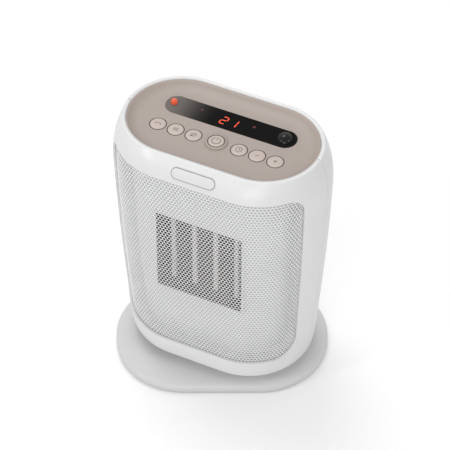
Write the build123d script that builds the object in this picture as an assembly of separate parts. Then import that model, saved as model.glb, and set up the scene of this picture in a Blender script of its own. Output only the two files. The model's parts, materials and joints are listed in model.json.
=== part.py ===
from build123d import *
import math
import os

# A ceramic fan heater. Its head swings on a wide oval foot. Millimetres, +Z up, front towards -Y.
# The swivel axis is the Z axis. The head is drawn facing straight ahead and turned last.
os.makedirs("parts", exist_ok=True)

# Overall sizes
total_height = 275.0
head_half_width = 103.0
head_front = 67.0
head_rear = 63.0
base_half_width = 102.0
base_half_depth = 71.0
base_corner = 66.0

# Swing of the head
rest_turn = -25.6
swing_each_way = 32.0

# Head casing
head_bottom = 26.0
seam_y = 2.0
seam_gap = 0.3
wall = 2.2
fit_gap = 0.3
# Share of the head's height, then how far the side, the front and the back are drawn in there
head_shares = [
    (0.0, 14.5, 6.5, 3.0),
    (0.010, 13.1, 5.6, 2.2),
    (0.032, 12.0, 5.0, 1.5),
    (0.088, 10.7, 4.4, 1.2),
    (0.277, 7.1, 2.95, 0.7),
    (0.478, 3.7, 1.4, 0.2),
    (0.679, 1.2, 0.3, 0.0),
    (0.819, 0.0, 0.0, 0.6),
    (0.867, 0.15, 0.3, 1.1),
    (0.900, 0.85, 0.95, 1.6),
    (0.924, 1.9, 2.0, 2.3),
    (0.944, 3.1, 3.7, 3.2),
    (0.962, 4.5, 6.0, 4.5),
    (0.978, 5.9, 8.9, 6.1),
    (0.990, 7.05, 11.6, 7.7),
    (1.0, 8.0, 14.0, 9.2),
]
head_stations = [
    (head_bottom + share * (total_height - head_bottom), *draws) for share, *draws in head_shares
]
badge_station = 12
rim_round = 1.6

# Dished control panel inside the rim
rim_lip = 3.7
rim_lip_front = 2.8
panel_thickness = 9.0
panel_below_rim = 0.8
dish_depth = 4.7
dish_edge = 1.2
dish_rear_run = 19.0
dish_end_run = 15.0
dish_front_run = 5.5
panel_relief = 13.0
panel_skin = 2.2
ledge_width = 4.5
ledge_height = 3.0

# Grille window in the front casing, with round ends that stop short of the seam
window_bottom = 46.0
window_below_top = 19.5
window_edge_angle = 27.0
window_low_corner = 24.0
window_high_corner = 16.0
window_side_aim = 40.0
window_middle_angle = 60.0
layout_side_draw = 3.0
layout_front_draw = 1.5
grille_sheet = 1.0
grille_flange = 5.0
grille_gap = 0.3
tray_gap = 0.5
hole_across = 13.8
hole_pitch = 18.0
hole_border = 7.5
hole_cut_start = 8.0
hole_cut_length = 12.0
tray_edge = 1.0
tray_rim = 2.0

# Air path: outlet duct, heater, fan
fan_height = 151.0
duct_half_width = 43.0
duct_half_height = 46.0
duct_wall = 2.0
outlet_recess = 16.0
duct_length = 11.0
heater_depth = 15.0
bar_count = 4
bar_width = 4.0
bar_pitch = 21.3
bar_depth = 12.0
fins_per_column = 16
fin_thickness = 0.6
fin_depth = 11.0
heater_side_frame = 2.0
heater_end_frame = 3.0
tab_length = 9.0
tab_width = 6.3
tab_thickness = 0.8
cutout_radius = 8.0
cutout_height = 6.0
cutout_cap_radius = 5.0
cutout_cap_height = 3.0
cutout_ear = 13.0
shroud_bore = 46.0
shroud_depth = 24.0
shroud_wall = 2.0
shroud_arm_depth = 3.0
shroud_arm_width = 5.0
motor_cup_wall = 3.0
motor_cup_depth = 4.0
motor_fit = 0.2
flange_margin = 9.0
flange_thickness = 2.0
duct_screw_inset = 4.5
blade_reach = 44.5
blade_count = 7
blade_chord = 15.0
blade_pitch = 34.0
blade_twist = 12.0
blade_root_share = 0.7
blade_tip_share = 1.35
blade_root_thickness = 1.6
blade_tip_thickness = 1.2
fan_gap = 3.0
hub_radius = 16.0
hub_length = 17.0
hub_chamfer = 3.5
motor_radius = 20.0
motor_length = 18.0
motor_end = 2.0
motor_boss_radius = 6.0
motor_nose_radius = 7.0
motor_nose_length = 2.5
fan_shaft_radius = 1.5
shaft_clearance = 0.05

# Air inlet at the back
inlet_half_width = 52.0
inlet_half_height = 54.0
inlet_corner = 10.0
inlet_flange = 3.0
slot_rows = 13
slot_pitch = 7.6
slot_height = 3.4
slot_length = 44.0
slot_middle_bar = 5.0
inlet_set_in = 0.4
inlet_lap_gap = 0.2
inlet_lap = 1.8
filter_side_gap = 3.0
filter_end_gap = 2.0
filter_frame = 4.0
filter_thickness = 2.6
filter_net = 0.8
filter_set_in = 0.0272

# Finger grip at the back, below the rim
grip_half_width = 44.0
grip_height = 24.0
grip_below_top = 29.0
grip_depth = 25.0
grip_corner = 8.0
grip_wall = 2.0

# Swivel, gears and the foot
post_radius = 14.0
post_bore = 9.0
post_top = 38.6
deck_thickness = 3.0
board_pillar_radius = 3.5
motor_pillar_radius = 4.0
power_board_z = 72.0
power_board_half_x = 49.0
power_board_front = -33.0
power_board_rear = 22.0
turn_clearance = 0.08
gear_module = 1.0
sector_teeth = 48
sector_tooth_count = 19
pinion_teeth = 14
gear_face = 6.0
gear_backlash = 0.16
swing_motor_radius = 21.0
swing_motor_height = 18.0
swing_motor_lift = 4.4
swing_ear = 25.0
swing_ear_half_width = 4.0
swing_ear_thickness = 1.5
pinion_shaft_radius = 2.5
pinion_shaft_depth = 6.0
sector_hub_wall = 4.0
nut_height = 3.4
nut_notch_depth = 1.6
nut_notch_width = 3.0
base_wall = 2.5
base_skirt_bottom = 1.5
neck_top = 24.0
ring_inner = 34.0
ring_outer = 40.0
ring_groove = 1.2
neck_wall = 7.0
neck_low = 12.0
base_room_top = 17.5
base_boss_top = 15.5
gland_boss_length = 10.5
base_plate_thickness = 3.0
foot_radius = 9.0
foot_height = 2.5
foot_side_inset = 36.0
foot_edge_inset = 29.0
base_screw_spread = 34.0
base_screw_side_inset = 24.0
base_screw_edge_inset = 14.0
base_screw_length = 9.4
base_screw_sink = 1.6
gland_z = 7.5
gland_radius = 4.5
gland_bore = 3.4
gland_collar = 2.4
gland_boss_radius = 5.8
gland_length = 12.0
gland_proud = 0.5

# Controls
button_radius = 7.3
button_gap = 0.8
button_web = 1.5
collar_width = 2.6
collar_height = 2.0
collar_web = 3.6
button_row_y = -12.0
button_proud = 0.6
power_proud = 2.5
button_travel = 0.9
button_flange = 1.3
button_flange_height = 1.0
button_stem_radius = 2.0
button_edge = 0.5
switch_half_width = 3.0
switch_body = 3.4
switch_plunger = 0.6
switch_plunger_radius = 1.7
window_half_length = 64.5
window_half_width = 11.5
window_y = 18.4
window_thickness = 1.8
window_proud = 0.3
window_ledge = 1.5
glass_gap = 0.1
lamp_x = -57.0
lamp_radius = 2.9
lamp_proud = 4.8
eye_x = 53.0
eye_radius = 7.4
eye_proud = 4.8
lens_y = 19.2
board_thickness = 1.6
board_margin = 11.0
board_below_rim = 17.4
board_boss_radius = 3.2
board_screw_radius = 1.2
board_screw_bite = 6.0

# Blank plate on the shoulder
badge_length = 43.0
badge_width = 11.0
badge_thickness = 1.5
badge_proud = 0.5

# Small screws
screw_radius = 1.8
screw_head = 3.4
screw_head_height = 2.2
screw_head_room = 0.4
screw_hole_gap = 0.05
casing_screw_low = 58.0
casing_screw_low_inset = 27.0
casing_screw_below_top = 43.0
casing_screw_high_inset = 24.0
casing_boss_radius = 4.5
casing_boss_reach = 9.0
casing_boss_skin = 1.0
casing_rib = 2.4
casing_screw_seat = 11.0

# Worked out from the sizes above
rim_side_draw, rim_front_draw, rim_rear_draw = head_stations[-1][1:]
panel_half_x = head_half_width - rim_side_draw - rim_lip
panel_front_y = seam_y - head_front + rim_front_draw + rim_lip_front
panel_rear_y = seam_y + head_rear - rim_rear_draw - rim_lip
panel_half_y = (panel_rear_y - panel_front_y) / 2
panel_y = (panel_rear_y + panel_front_y) / 2
panel_top = total_height - panel_below_rim
panel_bottom = panel_top - panel_thickness
floor_z = panel_top - dish_depth
floor_under = floor_z - panel_skin
board_top = total_height - board_below_rim
window_top = total_height - window_below_top
layout_radius = head_front - layout_front_draw
layout_straight = head_half_width - layout_side_draw - layout_radius
duct_front = seam_y - head_front + outlet_recess
duct_back = duct_front + duct_length
heater_back = duct_back + heater_depth
shroud_back = heater_back + shroud_depth
motor_back = shroud_back + motor_length
deck_top = head_bottom + deck_thickness
gear_bottom = deck_top + fit_gap
gear_top = gear_bottom + gear_face
pinion_y = gear_module * (sector_teeth + pinion_teeth) / 2
swing_motor_z = gear_top + swing_motor_lift
plate_top = base_skirt_bottom + base_plate_thickness
heater_half_x = duct_half_width - heater_side_frame
heater_half_z = duct_half_height - heater_end_frame
switch_top = board_top + switch_body + switch_plunger
screw_seat_y = seam_y + casing_screw_seat
button_step = 2 * (button_radius + button_gap) + button_web
power_step = 2 * (button_radius + button_gap) + collar_width + collar_web
button_places = {
    "swing_button": -power_step - 2 * button_step,
    "mode_button": -power_step - button_step,
    "eco_button": -power_step,
    "power_button": 0.0,
    "timer_button": power_step,
    "minus_button": power_step + button_step,
    "plus_button": power_step + 2 * button_step,
}


def box(low, high):
    """Box between two corners."""
    size = [h - l for l, h in zip(low, high)]
    middle = [(h + l) / 2 for l, h in zip(low, high)]
    return Pos(*middle) * Box(*size)


def rod(radius, z_low, z_high, x=0.0, y=0.0):
    """Upright cylinder."""
    return Pos(x, y, (z_low + z_high) / 2) * Cylinder(radius, z_high - z_low)


def rod_y(radius, y_low, y_high, x=0.0, z=0.0):
    """Cylinder lying along Y."""
    return Pos(x, (y_low + y_high) / 2, z) * Rot(90, 0, 0) * Cylinder(radius, y_high - y_low)


def stadium(half_x, half_y, y, z):
    """Stadium outline lying flat."""
    return Pos(0, y, z) * SlotOverall(2 * half_x, 2 * half_y)


def stadium_block(half_x, half_y, y, z_low, z_high):
    """Upright block with a stadium plan."""
    return extrude(stadium(half_x, half_y, y, z_low), z_high - z_low)


def turned(shape):
    """The head's resting turn about the swivel axis."""
    return Rot(0, 0, rest_turn) * shape


def save(shape, name):
    export_step(shape, f"parts/{name}.step")


def save_head(shape, name):
    save(turned(shape), name)


def head_plan(z, half, front, rear):
    """Plan of the head: straight front and back, and round ends that meet at the seam."""
    slant = math.sqrt(0.5)
    front_x = half - front
    rear_x = half - rear
    edges = [
        Line((-front_x, seam_y - front), (front_x, seam_y - front)),
        ThreePointArc(
            (front_x, seam_y - front),
            (front_x + front * slant, seam_y - front * slant),
            (half, seam_y),
        ),
        ThreePointArc(
            (half, seam_y),
            (rear_x + rear * slant, seam_y + rear * slant),
            (rear_x, seam_y + rear),
        ),
        Line((rear_x, seam_y + rear), (-rear_x, seam_y + rear)),
        ThreePointArc(
            (-rear_x, seam_y + rear),
            (-rear_x - rear * slant, seam_y + rear * slant),
            (-half, seam_y),
        ),
        ThreePointArc(
            (-half, seam_y),
            (-front_x - front * slant, seam_y - front * slant),
            (-front_x, seam_y - front),
        ),
    ]
    return Pos(0, 0, z) * Wire(edges)


def head_form(inset):
    """The head's swelling outer form, drawn in by an inset."""
    plans = []
    for z, side, front, rear in head_stations:
        plans.append(
            head_plan(
                z,
                head_half_width - side - inset,
                head_front - front - inset,
                head_rear - rear - inset,
            )
        )
    return Solid.make_loft(plans, ruled=True)


def slab(form, z_low, z_high):
    """The part of a form between two heights."""
    reach = 2 * head_half_width
    return form & box((-reach, -reach, z_low), (reach, reach, z_high))


def skin(outer_inset, inner_inset):
    """A sheet that follows the head's form."""
    below = head_bottom - 1
    above = total_height + 1
    return slab(head_form(outer_inset), below, above) - head_form(inner_inset)


def window_block(grow):
    """What cuts the grille window: a block straight ahead and one at each round end."""
    low = window_bottom - grow
    high = window_top + grow
    angle = math.radians(window_edge_angle)
    edge = (
        layout_straight + layout_radius * math.cos(angle),
        seam_y - layout_radius * math.sin(angle),
    )
    aim = math.radians(window_side_aim)
    across = (math.sin(aim), math.cos(aim))
    edge_t = edge[0] * across[0] + edge[1] * across[1] + grow
    inner_t = layout_straight * across[0] + (seam_y - layout_radius) * across[1]
    plane = Plane(
        origin=(0, 0, 0), x_dir=(*across, 0), z_dir=(math.cos(aim), -math.sin(aim), 0)
    )
    outline = Pos((edge_t + inner_t) / 2, (low + high) / 2) * Rectangle(
        edge_t - inner_t, high - low
    )
    outer = outline.vertices().sort_by(Axis.X)[-2:].sort_by(Axis.Y)
    outline = fillet(outer[0], window_low_corner + grow)
    outer = outline.vertices().group_by(Axis.Y)[-1].sort_by(Axis.X)
    outline = fillet(outer[-1], window_high_corner + grow)
    side = extrude(plane * outline, 2 * head_half_width)
    middle_x = layout_straight + layout_radius * math.cos(math.radians(window_middle_angle))
    middle = box((-middle_x, -2 * head_front, low), (middle_x, seam_y - head_front / 2, high))
    return middle + side + mirror(side, Plane.YZ)


def screw(radius, head_radius, head_height, length):
    """Pan-head screw hanging down from z = 0, head above."""
    return rod(head_radius, 0, head_height) + rod(radius, -length, 0)


def front_and_rear_shells():
    """The two white casings, which meet at the seam plane."""
    outer = head_form(0)
    top_edges = outer.edges().group_by(Axis.Z)[-1]
    outer = outer.fillet(rim_round, top_edges)
    ledge_low = panel_bottom - ledge_height
    cavity = slab(head_form(wall), head_bottom - 1, ledge_low)
    inner_x = panel_half_x - ledge_width
    inner_y = panel_half_y - ledge_width
    opening = stadium_block(inner_x, inner_y, panel_y, ledge_low - 1, panel_bottom + 1)
    seat = stadium_block(panel_half_x, panel_half_y, panel_y, panel_bottom, total_height + 1)
    casing = outer - cavity - opening - seat
    reach = 2 * head_half_width
    half = seam_gap / 2
    front = casing & box((-reach, -reach, 0), (reach, seam_y - half, 2 * total_height))
    rear = casing & box((-reach, seam_y + half, 0), (reach, reach, 2 * total_height))
    return front, rear


casing_screws = [
    (side * (head_half_width - inset), z)
    for side in (-1, 1)
    for z, inset in (
        (casing_screw_low, casing_screw_low_inset),
        (total_height - casing_screw_below_top, casing_screw_high_inset),
    )
]


def front_shell(casing):
    shell = casing - window_block(0)
    trim = head_form(casing_boss_skin)
    front_end = seam_y - casing_boss_reach
    near = seam_y - seam_gap / 2
    for x, z in casing_screws:
        boss = rod_y(casing_boss_radius, front_end, near, x, z)
        outward = math.copysign(head_half_width, x)
        rib = box(
            (min(x, outward), front_end, z - casing_rib / 2),
            (max(x, outward), near, z + casing_rib / 2),
        )
        shell = shell + ((boss + rib) & trim)
        shell = shell - rod_y(screw_radius + screw_hole_gap, front_end + 2, near + 1, x, z)
    return shell - badge(0.1)


def rear_shell(casing):
    trim = head_form(casing_boss_skin)
    low = total_height - grip_below_top - grip_height
    middle = (low + total_height - grip_below_top) / 2
    back = seam_y + head_rear
    mouth = Plane(origin=(0, back - grip_depth, middle), x_dir=(-1, 0, 0), z_dir=(0, 1, 0))
    pocket = extrude(
        mouth * RectangleRounded(2 * grip_half_width, grip_height, grip_corner), 2 * grip_depth
    )
    lining = extrude(
        mouth.offset(-grip_wall)
        * RectangleRounded(
            2 * (grip_half_width + grip_wall), grip_height + 2 * grip_wall, grip_corner + grip_wall
        ),
        2 * grip_depth,
    )
    shell = casing + (lining & trim) - pocket
    shell = shell - inlet_block(0)
    near = seam_y + seam_gap / 2
    for x, z in casing_screws:
        boss = rod_y(casing_boss_radius, near, back, x, z) & trim
        shell = shell + boss
        shell = shell - rod_y(screw_radius + screw_hole_gap, near - 1, back, x, z)
        shell = shell - rod_y(screw_head + screw_head_room, screw_seat_y, 2 * back, x, z)
    return shell


def inlet_block(grow):
    """Prism that cuts the air inlet through the back."""
    plane = Plane(origin=(0, seam_y + 20, fan_height), x_dir=(-1, 0, 0), z_dir=(0, 1, 0))
    outline = RectangleRounded(
        2 * (inlet_half_width + grow), 2 * (inlet_half_height + grow), inlet_corner + grow
    )
    return extrude(plane * outline, 2 * head_rear)


def intake_grille():
    """Slotted cover that clips into the back and holds the filter."""
    lap = wall + inlet_lap_gap
    cover = skin(inlet_set_in, lap) & inlet_block(-fit_gap)
    flange = skin(lap, lap + inlet_lap) & inlet_block(inlet_flange)
    grille = cover + flange
    slots = []
    for row in range(slot_rows):
        z = fan_height + (row - (slot_rows - 1) / 2) * slot_pitch
        for side in (-1, 1):
            plane = Plane(
                origin=(side * (slot_length + slot_middle_bar) / 2, seam_y + head_rear / 2, z),
                x_dir=(-1, 0, 0),
                z_dir=(0, 1, 0),
            )
            slots.append(extrude(plane * SlotOverall(slot_length, slot_height), head_rear))
    return grille - slots


def rear_reach(x, z, inset):
    """How far back the head's form reaches at a place on its back, drawn in by an inset."""
    for (low, *low_draws), (high, *high_draws) in zip(head_stations, head_stations[1:]):
        if low <= z <= high:
            share = (z - low) / (high - low)
            side, _, rear = [a + share * (b - a) for a, b in zip(low_draws, high_draws)]
    radius = head_rear - rear - inset
    straight = head_half_width - side - inset - radius
    return seam_y + math.sqrt(radius**2 - max(0, x - straight) ** 2)


def dust_filter():
    """Fine filter sheet in a light frame, set in from the inner face of the inlet cover."""
    half_x = inlet_half_width - filter_side_gap
    half_z = inlet_half_height - filter_end_gap
    cover_inset = wall + inlet_lap_gap + inlet_lap
    corners = [rear_reach(half_x, fan_height + side * half_z, cover_inset) for side in (-1, 1)]
    back = min(corners) - filter_set_in
    front = back - filter_thickness
    open_x = half_x - filter_frame
    open_z = half_z - filter_frame
    frame = box((-half_x, front, fan_height - half_z), (half_x, back, fan_height + half_z))
    hole = box(
        (-open_x, front - 1, fan_height - open_z),
        (open_x, back - filter_net, fan_height + open_z),
    )
    return frame - hole


def front_grille():
    """Perforated sheet that wraps round the front, behind its window."""
    inset = wall + grille_gap
    sheet = head_form(inset) - head_form(inset + grille_sheet)
    sheet = sheet & window_block(grille_flange)
    reach = box(
        (-2 * head_half_width, -2 * head_front, 0),
        (2 * head_half_width, seam_y - 2, 2 * total_height),
    )
    sheet = sheet & reach
    return sheet - grille_holes()


def grille_holes():
    """Six-sided holes in staggered rows, each cut square to the sheet."""
    reach = layout_straight + layout_radius * math.radians(90 - window_edge_angle) - hole_border
    row_pitch = hole_pitch * math.sqrt(0.75)
    low = window_bottom + hole_border
    high = window_top - hole_border
    rows = int((high - low) / row_pitch) + 1
    start = (low + high - (rows - 1) * row_pitch) / 2
    cutters = []
    for row in range(rows):
        z = start + row * row_pitch
        shift = hole_pitch / 2 if row % 2 else 0.0
        count = int((reach - shift) / hole_pitch)
        for column in range(-count - 1, count + 1):
            u = column * hole_pitch + shift
            if abs(u) > reach:
                continue
            corner_u = reach - window_low_corner + hole_border
            corner_z = window_bottom + window_low_corner
            if abs(u) > corner_u and z < corner_z:
                if math.hypot(abs(u) - corner_u, z - corner_z) > window_low_corner - hole_border:
                    continue
            bend = max(0.0, abs(u) - layout_straight) / layout_radius
            angle = math.copysign(bend, u)
            x = math.copysign(min(abs(u), layout_straight), u)
            plane = Plane(
                origin=(x, seam_y, z),
                x_dir=(math.cos(angle), math.sin(angle), 0),
                z_dir=(math.sin(angle), -math.cos(angle), 0),
            ).offset(layout_radius - hole_cut_start)
            hexagon = RegularPolygon(hole_across / 2, 6, major_radius=False, rotation=30)
            cutters.append(extrude(plane * hexagon, hole_cut_length))
    return cutters


def outlet_housing():
    """Pale tray behind the grille, with the square duct that leads back to the heater."""
    face = wall + grille_gap + grille_sheet + tray_gap
    edge = grille_flange - tray_edge
    tray = (head_form(face) - head_form(outlet_recess + duct_wall)) & window_block(edge)
    tray = tray - ((head_form(face) - head_form(outlet_recess)) & window_block(edge - tray_rim))
    in_front = box(
        (-2 * head_half_width, -2 * head_front, 0),
        (2 * head_half_width, seam_y - 2, 2 * total_height),
    )
    tray = tray & in_front
    outer = box(
        (-duct_half_width - duct_wall, duct_front, fan_height - duct_half_height - duct_wall),
        (duct_half_width + duct_wall, duct_back, fan_height + duct_half_height + duct_wall),
    )
    bore = box(
        (-duct_half_width, duct_front - 10, fan_height - duct_half_height),
        (duct_half_width, duct_back + 1, fan_height + duct_half_height),
    )
    flange = duct_flange(duct_back - flange_thickness, duct_back)
    return tray + outer + flange - bore - duct_screw_holes()


def duct_flange(y_low, y_high):
    """Square flange that the duct, the heater and the fan share."""
    half_x = duct_half_width + flange_margin
    half_z = duct_half_height + flange_margin
    return box((-half_x, y_low, fan_height - half_z), (half_x, y_high, fan_height + half_z))


duct_screw_places = [
    (
        side * (duct_half_width + flange_margin - duct_screw_inset),
        fan_height + up * (duct_half_height + flange_margin - duct_screw_inset),
    )
    for side in (-1, 1)
    for up in (-1, 1)
]


def duct_screw_holes():
    radius = screw_radius + screw_hole_gap
    low = duct_back - flange_thickness - 1
    high = heater_back + flange_thickness + 1
    return [rod_y(radius, low, high, x, z) for x, z in duct_screw_places]


def duct_screws():
    """Long screws that clamp the heater between the duct and the fan."""
    low = duct_back - flange_thickness
    high = heater_back + flange_thickness
    solids = []
    for x, z in duct_screw_places:
        head = rod_y(screw_head, high, high + screw_head_height, x, z)
        solids.append(head + rod_y(screw_radius, low, high, x, z))
    return solids


def heater_frame():
    frame = duct_flange(duct_back, heater_back)
    hole = box(
        (-heater_half_x, duct_back - 1, fan_height - heater_half_z),
        (heater_half_x, heater_back + 1, fan_height + heater_half_z),
    )
    return frame - hole - duct_screw_holes()


def heater_columns():
    """Across the heater: each upright bar, and the columns of fins beside the bars."""
    bars = []
    fins = []
    x = -heater_half_x
    for index in range(bar_count):
        left = (index - (bar_count - 1) / 2) * bar_pitch - bar_width / 2
        fins.append((x, left))
        bars.append((left, left + bar_width))
        x = left + bar_width
    fins.append((x, heater_half_x))
    return bars, fins


def heater_bars():
    """Upright ceramic heating bars in aluminium jackets."""
    bars, _ = heater_columns()
    front = (duct_back + heater_back - bar_depth) / 2
    low = fan_height - heater_half_z
    high = fan_height + heater_half_z
    return [box((left, front, low), (right, front + bar_depth, high)) for left, right in bars]


def heater_fins():
    """Thin fins that bridge the bars and give their heat to the air."""
    _, columns = heater_columns()
    front = (duct_back + heater_back - fin_depth) / 2
    pitch = 2 * heater_half_z / fins_per_column
    fins = []
    for left, right in columns:
        for index in range(fins_per_column):
            z = fan_height - heater_half_z + pitch * (index + 0.5) - fin_thickness / 2
            fins.append(box((left, front, z), (right, front + fin_depth, z + fin_thickness)))
    return fins


def heater_terminals():
    """Flat tabs under the heater frame, one below each bar."""
    bars, _ = heater_columns()
    high = fan_height - duct_half_height - flange_margin
    front = (duct_back + heater_back - tab_thickness) / 2
    tabs = []
    for left, right in bars:
        x = (left + right - tab_width) / 2
        tabs.append(box((x, front, high - tab_length), (x + tab_width, front + tab_thickness, high)))
    return tabs


def thermal_cutout():
    """Round snap-action cut-out on top of the heater frame."""
    y = (duct_back + heater_back) / 2
    z = fan_height + duct_half_height + flange_margin
    top = z + cutout_height
    body = rod(cutout_radius, z, top, 0, y)
    cap = rod(cutout_cap_radius, top, top + cutout_cap_height, 0, y)
    tabs = box((1 - cutout_ear, y - 2, top), (cutout_ear - 1, y + 2, top + tab_thickness))
    ears = box((-cutout_ear, y - 4, z), (cutout_ear, y + 4, z + 1))
    return body + cap + tabs + ears


def fan_shroud():
    """Flange, round duct and the arms that carry the motor."""
    near = heater_back
    flange = duct_flange(near, near + flange_thickness)
    tube = rod_y(shroud_bore + shroud_wall, near, shroud_back, 0, fan_height)
    arms_low = shroud_back - shroud_arm_depth
    cup_back = shroud_back + motor_cup_depth
    half = shroud_arm_width / 2
    cup = rod_y(motor_radius + motor_cup_wall, arms_low, cup_back, 0, fan_height)
    cup = cup - rod_y(motor_radius + motor_fit, shroud_back, cup_back + 1, 0, fan_height)
    cup = cup - rod_y(motor_radius - motor_cup_depth, arms_low - 1, shroud_back + 1, 0, fan_height)
    body = flange + tube - rod_y(shroud_bore, near - 1, shroud_back + 1, 0, fan_height)
    for index in range(4):
        arm = box(
            (motor_radius + 1, arms_low, -half), (shroud_bore + shroud_wall / 2, shroud_back, half)
        )
        body = body + Pos(0, 0, fan_height) * Rot(0, 45 + 90 * index, 0) * arm
    return body + cup - duct_screw_holes()


def impeller():
    """Hub and twisted blades."""
    low = heater_back + fan_gap
    middle = low + hub_length / 2
    hub = rod_y(hub_radius, low, low + hub_length, 0, 0)
    hub = chamfer(hub.edges().filter_by(GeomType.CIRCLE).group_by(Axis.Y)[0], hub_chamfer)
    hub = hub - rod_y(fan_shaft_radius + 0.02, low - 1, low + hub_length + 1, 0, 0)
    blades = []
    for index in range(blade_count):
        root = Plane(origin=(0, middle, hub_radius - 2), x_dir=(1, 0, 0), z_dir=(0, 0, 1))
        tip = Plane(origin=(0, middle, blade_reach - 1), x_dir=(1, 0, 0), z_dir=(0, 0, 1))
        root_outline = Rectangle(blade_chord * blade_root_share, blade_root_thickness)
        tip_outline = Rectangle(blade_chord * blade_tip_share, blade_tip_thickness)
        root_face = root * Rot(0, 0, blade_pitch + blade_twist) * root_outline
        blade = loft([root_face, tip * Rot(0, 0, blade_pitch) * tip_outline])
        blades.append(Rot(0, 360 / blade_count * index, 0) * blade)
    bound = rod_y(blade_reach, low - 2, low + hub_length + 3, 0, 0)
    return Pos(0, 0, fan_height) * ((hub + blades) & bound)


def fan_shaft():
    return rod_y(fan_shaft_radius, heater_back + fan_gap + 1, motor_back + 1.5, 0, fan_height)


def fan_motor():
    """Motor with a stepped end and a running bore for the shaft."""
    can = rod_y(motor_radius, shroud_back, motor_back - motor_end, 0, fan_height)
    can = chamfer(can.edges().filter_by(GeomType.CIRCLE).group_by(Axis.Y)[-1], 1.5)
    boss = rod_y(motor_boss_radius, motor_back - motor_end, motor_back, 0, fan_height)
    nose = rod_y(motor_nose_radius, shroud_back - motor_nose_length, shroud_back, 0, fan_height)
    bore = rod_y(
        fan_shaft_radius + shaft_clearance, shroud_back - 4, motor_back + 1, 0, fan_height
    )
    return can + boss + nose - bore


def head_deck():
    """Floor of the head, with the hub that turns on the post and the board pillars."""
    plate = slab(head_form(wall + fit_gap), head_bottom, deck_top)
    for x, y in board_pillars:
        plate = plate + rod(board_pillar_radius, deck_top, power_board_z, x, y)
    for x in (-swing_ear, swing_ear):
        plate = plate + rod(motor_pillar_radius, deck_top, swing_motor_z, x, pinion_y)
    return plate - rod(post_radius + turn_clearance, head_bottom - 1, deck_top + 1)


board_pillars = [
    (side * (power_board_half_x - 3), y)
    for side in (-1, 1)
    for y in (power_board_front + 3, power_board_rear - 6)
]


def swing_motor():
    """Slow synchronous motor, shaft down, on two ears."""
    z = swing_motor_z
    can = rod(swing_motor_radius, z, z + swing_motor_height, 0, pinion_y)
    can = chamfer(can.edges().filter_by(GeomType.CIRCLE).group_by(Axis.Z)[-1], 1.2)
    half = swing_ear_half_width
    reach = swing_ear + half
    ears = box((-reach, pinion_y - half, z), (reach, pinion_y + half, z + swing_ear_thickness))
    bore_top = z + pinion_shaft_depth + 1
    bore = rod(pinion_shaft_radius + shaft_clearance, z - 1, bore_top, 0, pinion_y)
    return can + ears - bore


def power_board():
    return box(
        (-power_board_half_x, power_board_front, power_board_z),
        (power_board_half_x, power_board_rear, power_board_z + board_thickness),
    )


def power_parts():
    """Relays, a capacitor, a choke and the terminal row on the power board."""
    z = power_board_z + board_thickness
    parts = [box((x - 7.5, -29, z), (x + 7.5, -10, z + 15)) for x in (-38, -19, 0)]
    parts.append(rod(6.5, z, z + 16, 20, -20))
    parts.append(rod(5, z, z + 12, 36, -22))
    parts.append(box((12, 0, z), (44, 12, z + 11)))
    parts.append(box((-42, -2, z), (-24, 14, z + 13)))
    return parts


def dish():
    """The hollow of the panel: steep at the front, and a long run up to the rim at the back."""
    steps = [
        (1.0, 0.0),
        (0.84, 0.012),
        (0.68, 0.055),
        (0.53, 0.14),
        (0.40, 0.26),
        (0.28, 0.42),
        (0.18, 0.60),
        (0.09, 0.81),
        (0.0, 1.03),
    ]
    plans = []
    for share, rise in steps:
        rear = dish_edge + share * (dish_rear_run - dish_edge)
        front = dish_edge + share * (dish_front_run - dish_edge)
        end = dish_edge + share * (dish_end_run - dish_edge)
        outline = stadium(
            panel_half_x - end,
            panel_half_y - (rear + front) / 2,
            panel_y + (front - rear) / 2,
            floor_z + rise * dish_depth,
        )
        plans.append(outline.face().outer_wire())
    return Solid.make_loft(plans, ruled=True)


def top_panel():
    """Dished control panel."""
    half_x = panel_half_x - fit_gap
    half_y = panel_half_y - fit_gap
    panel = stadium_block(half_x, half_y, panel_y, panel_bottom, panel_top)
    under = stadium_block(
        half_x - panel_relief, half_y - panel_relief, panel_y, panel_bottom - 1, floor_under
    )
    panel = panel - dish() - under
    for x in button_places.values():
        pocket = rod(
            button_radius + button_flange + button_gap, panel_bottom - 1, floor_under, x, button_row_y
        )
        panel = panel - pocket
    for x, y in board_bosses:
        panel = panel + rod(board_boss_radius, board_top, floor_under + 0.2, x, y)
        panel = panel - rod(board_screw_radius + screw_hole_gap, board_top - 1, floor_under - 1, x, y)
    window_low = floor_z + window_proud - window_thickness
    panel = panel - stadium_block(
        window_half_length, window_half_width, window_y, window_low, floor_z + 1
    )
    open_x = window_half_length - window_ledge
    open_y = window_half_width - window_ledge
    panel = panel - stadium_block(open_x, open_y, window_y, panel_bottom - 1, floor_z)
    for x in button_places.values():
        panel = panel - rod(button_radius + button_gap, panel_bottom - 1, floor_z + 1, x, button_row_y)
    return panel


board_bosses = [(x, y) for x in (-33, 33) for y in (-30, 36)]


def button(proud):
    """Round key with a crowned top, a stem and a flange that holds it under the panel."""
    top = floor_z + proud
    flange_top = floor_under - 0.2
    key = rod(button_radius, flange_top, top)
    key = chamfer(key.edges().filter_by(GeomType.CIRCLE).group_by(Axis.Z)[-1], button_edge)
    flange_low = flange_top - button_flange_height
    flange = rod(button_radius + button_flange, flange_low, flange_top)
    stem = rod(button_stem_radius, switch_top + button_travel + 0.1, flange_low)
    return key + flange + stem


def power_collar():
    """Raised ring round the main key."""
    inner = button_radius + button_gap
    ring = rod(inner + collar_width, floor_z, floor_z + collar_height, 0, button_row_y)
    ring = chamfer(ring.edges().filter_by(GeomType.CIRCLE).group_by(Axis.Z)[-1], 1.1)
    return ring - rod(inner, floor_z - 1, floor_z + collar_height + 1, 0, button_row_y)


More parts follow.
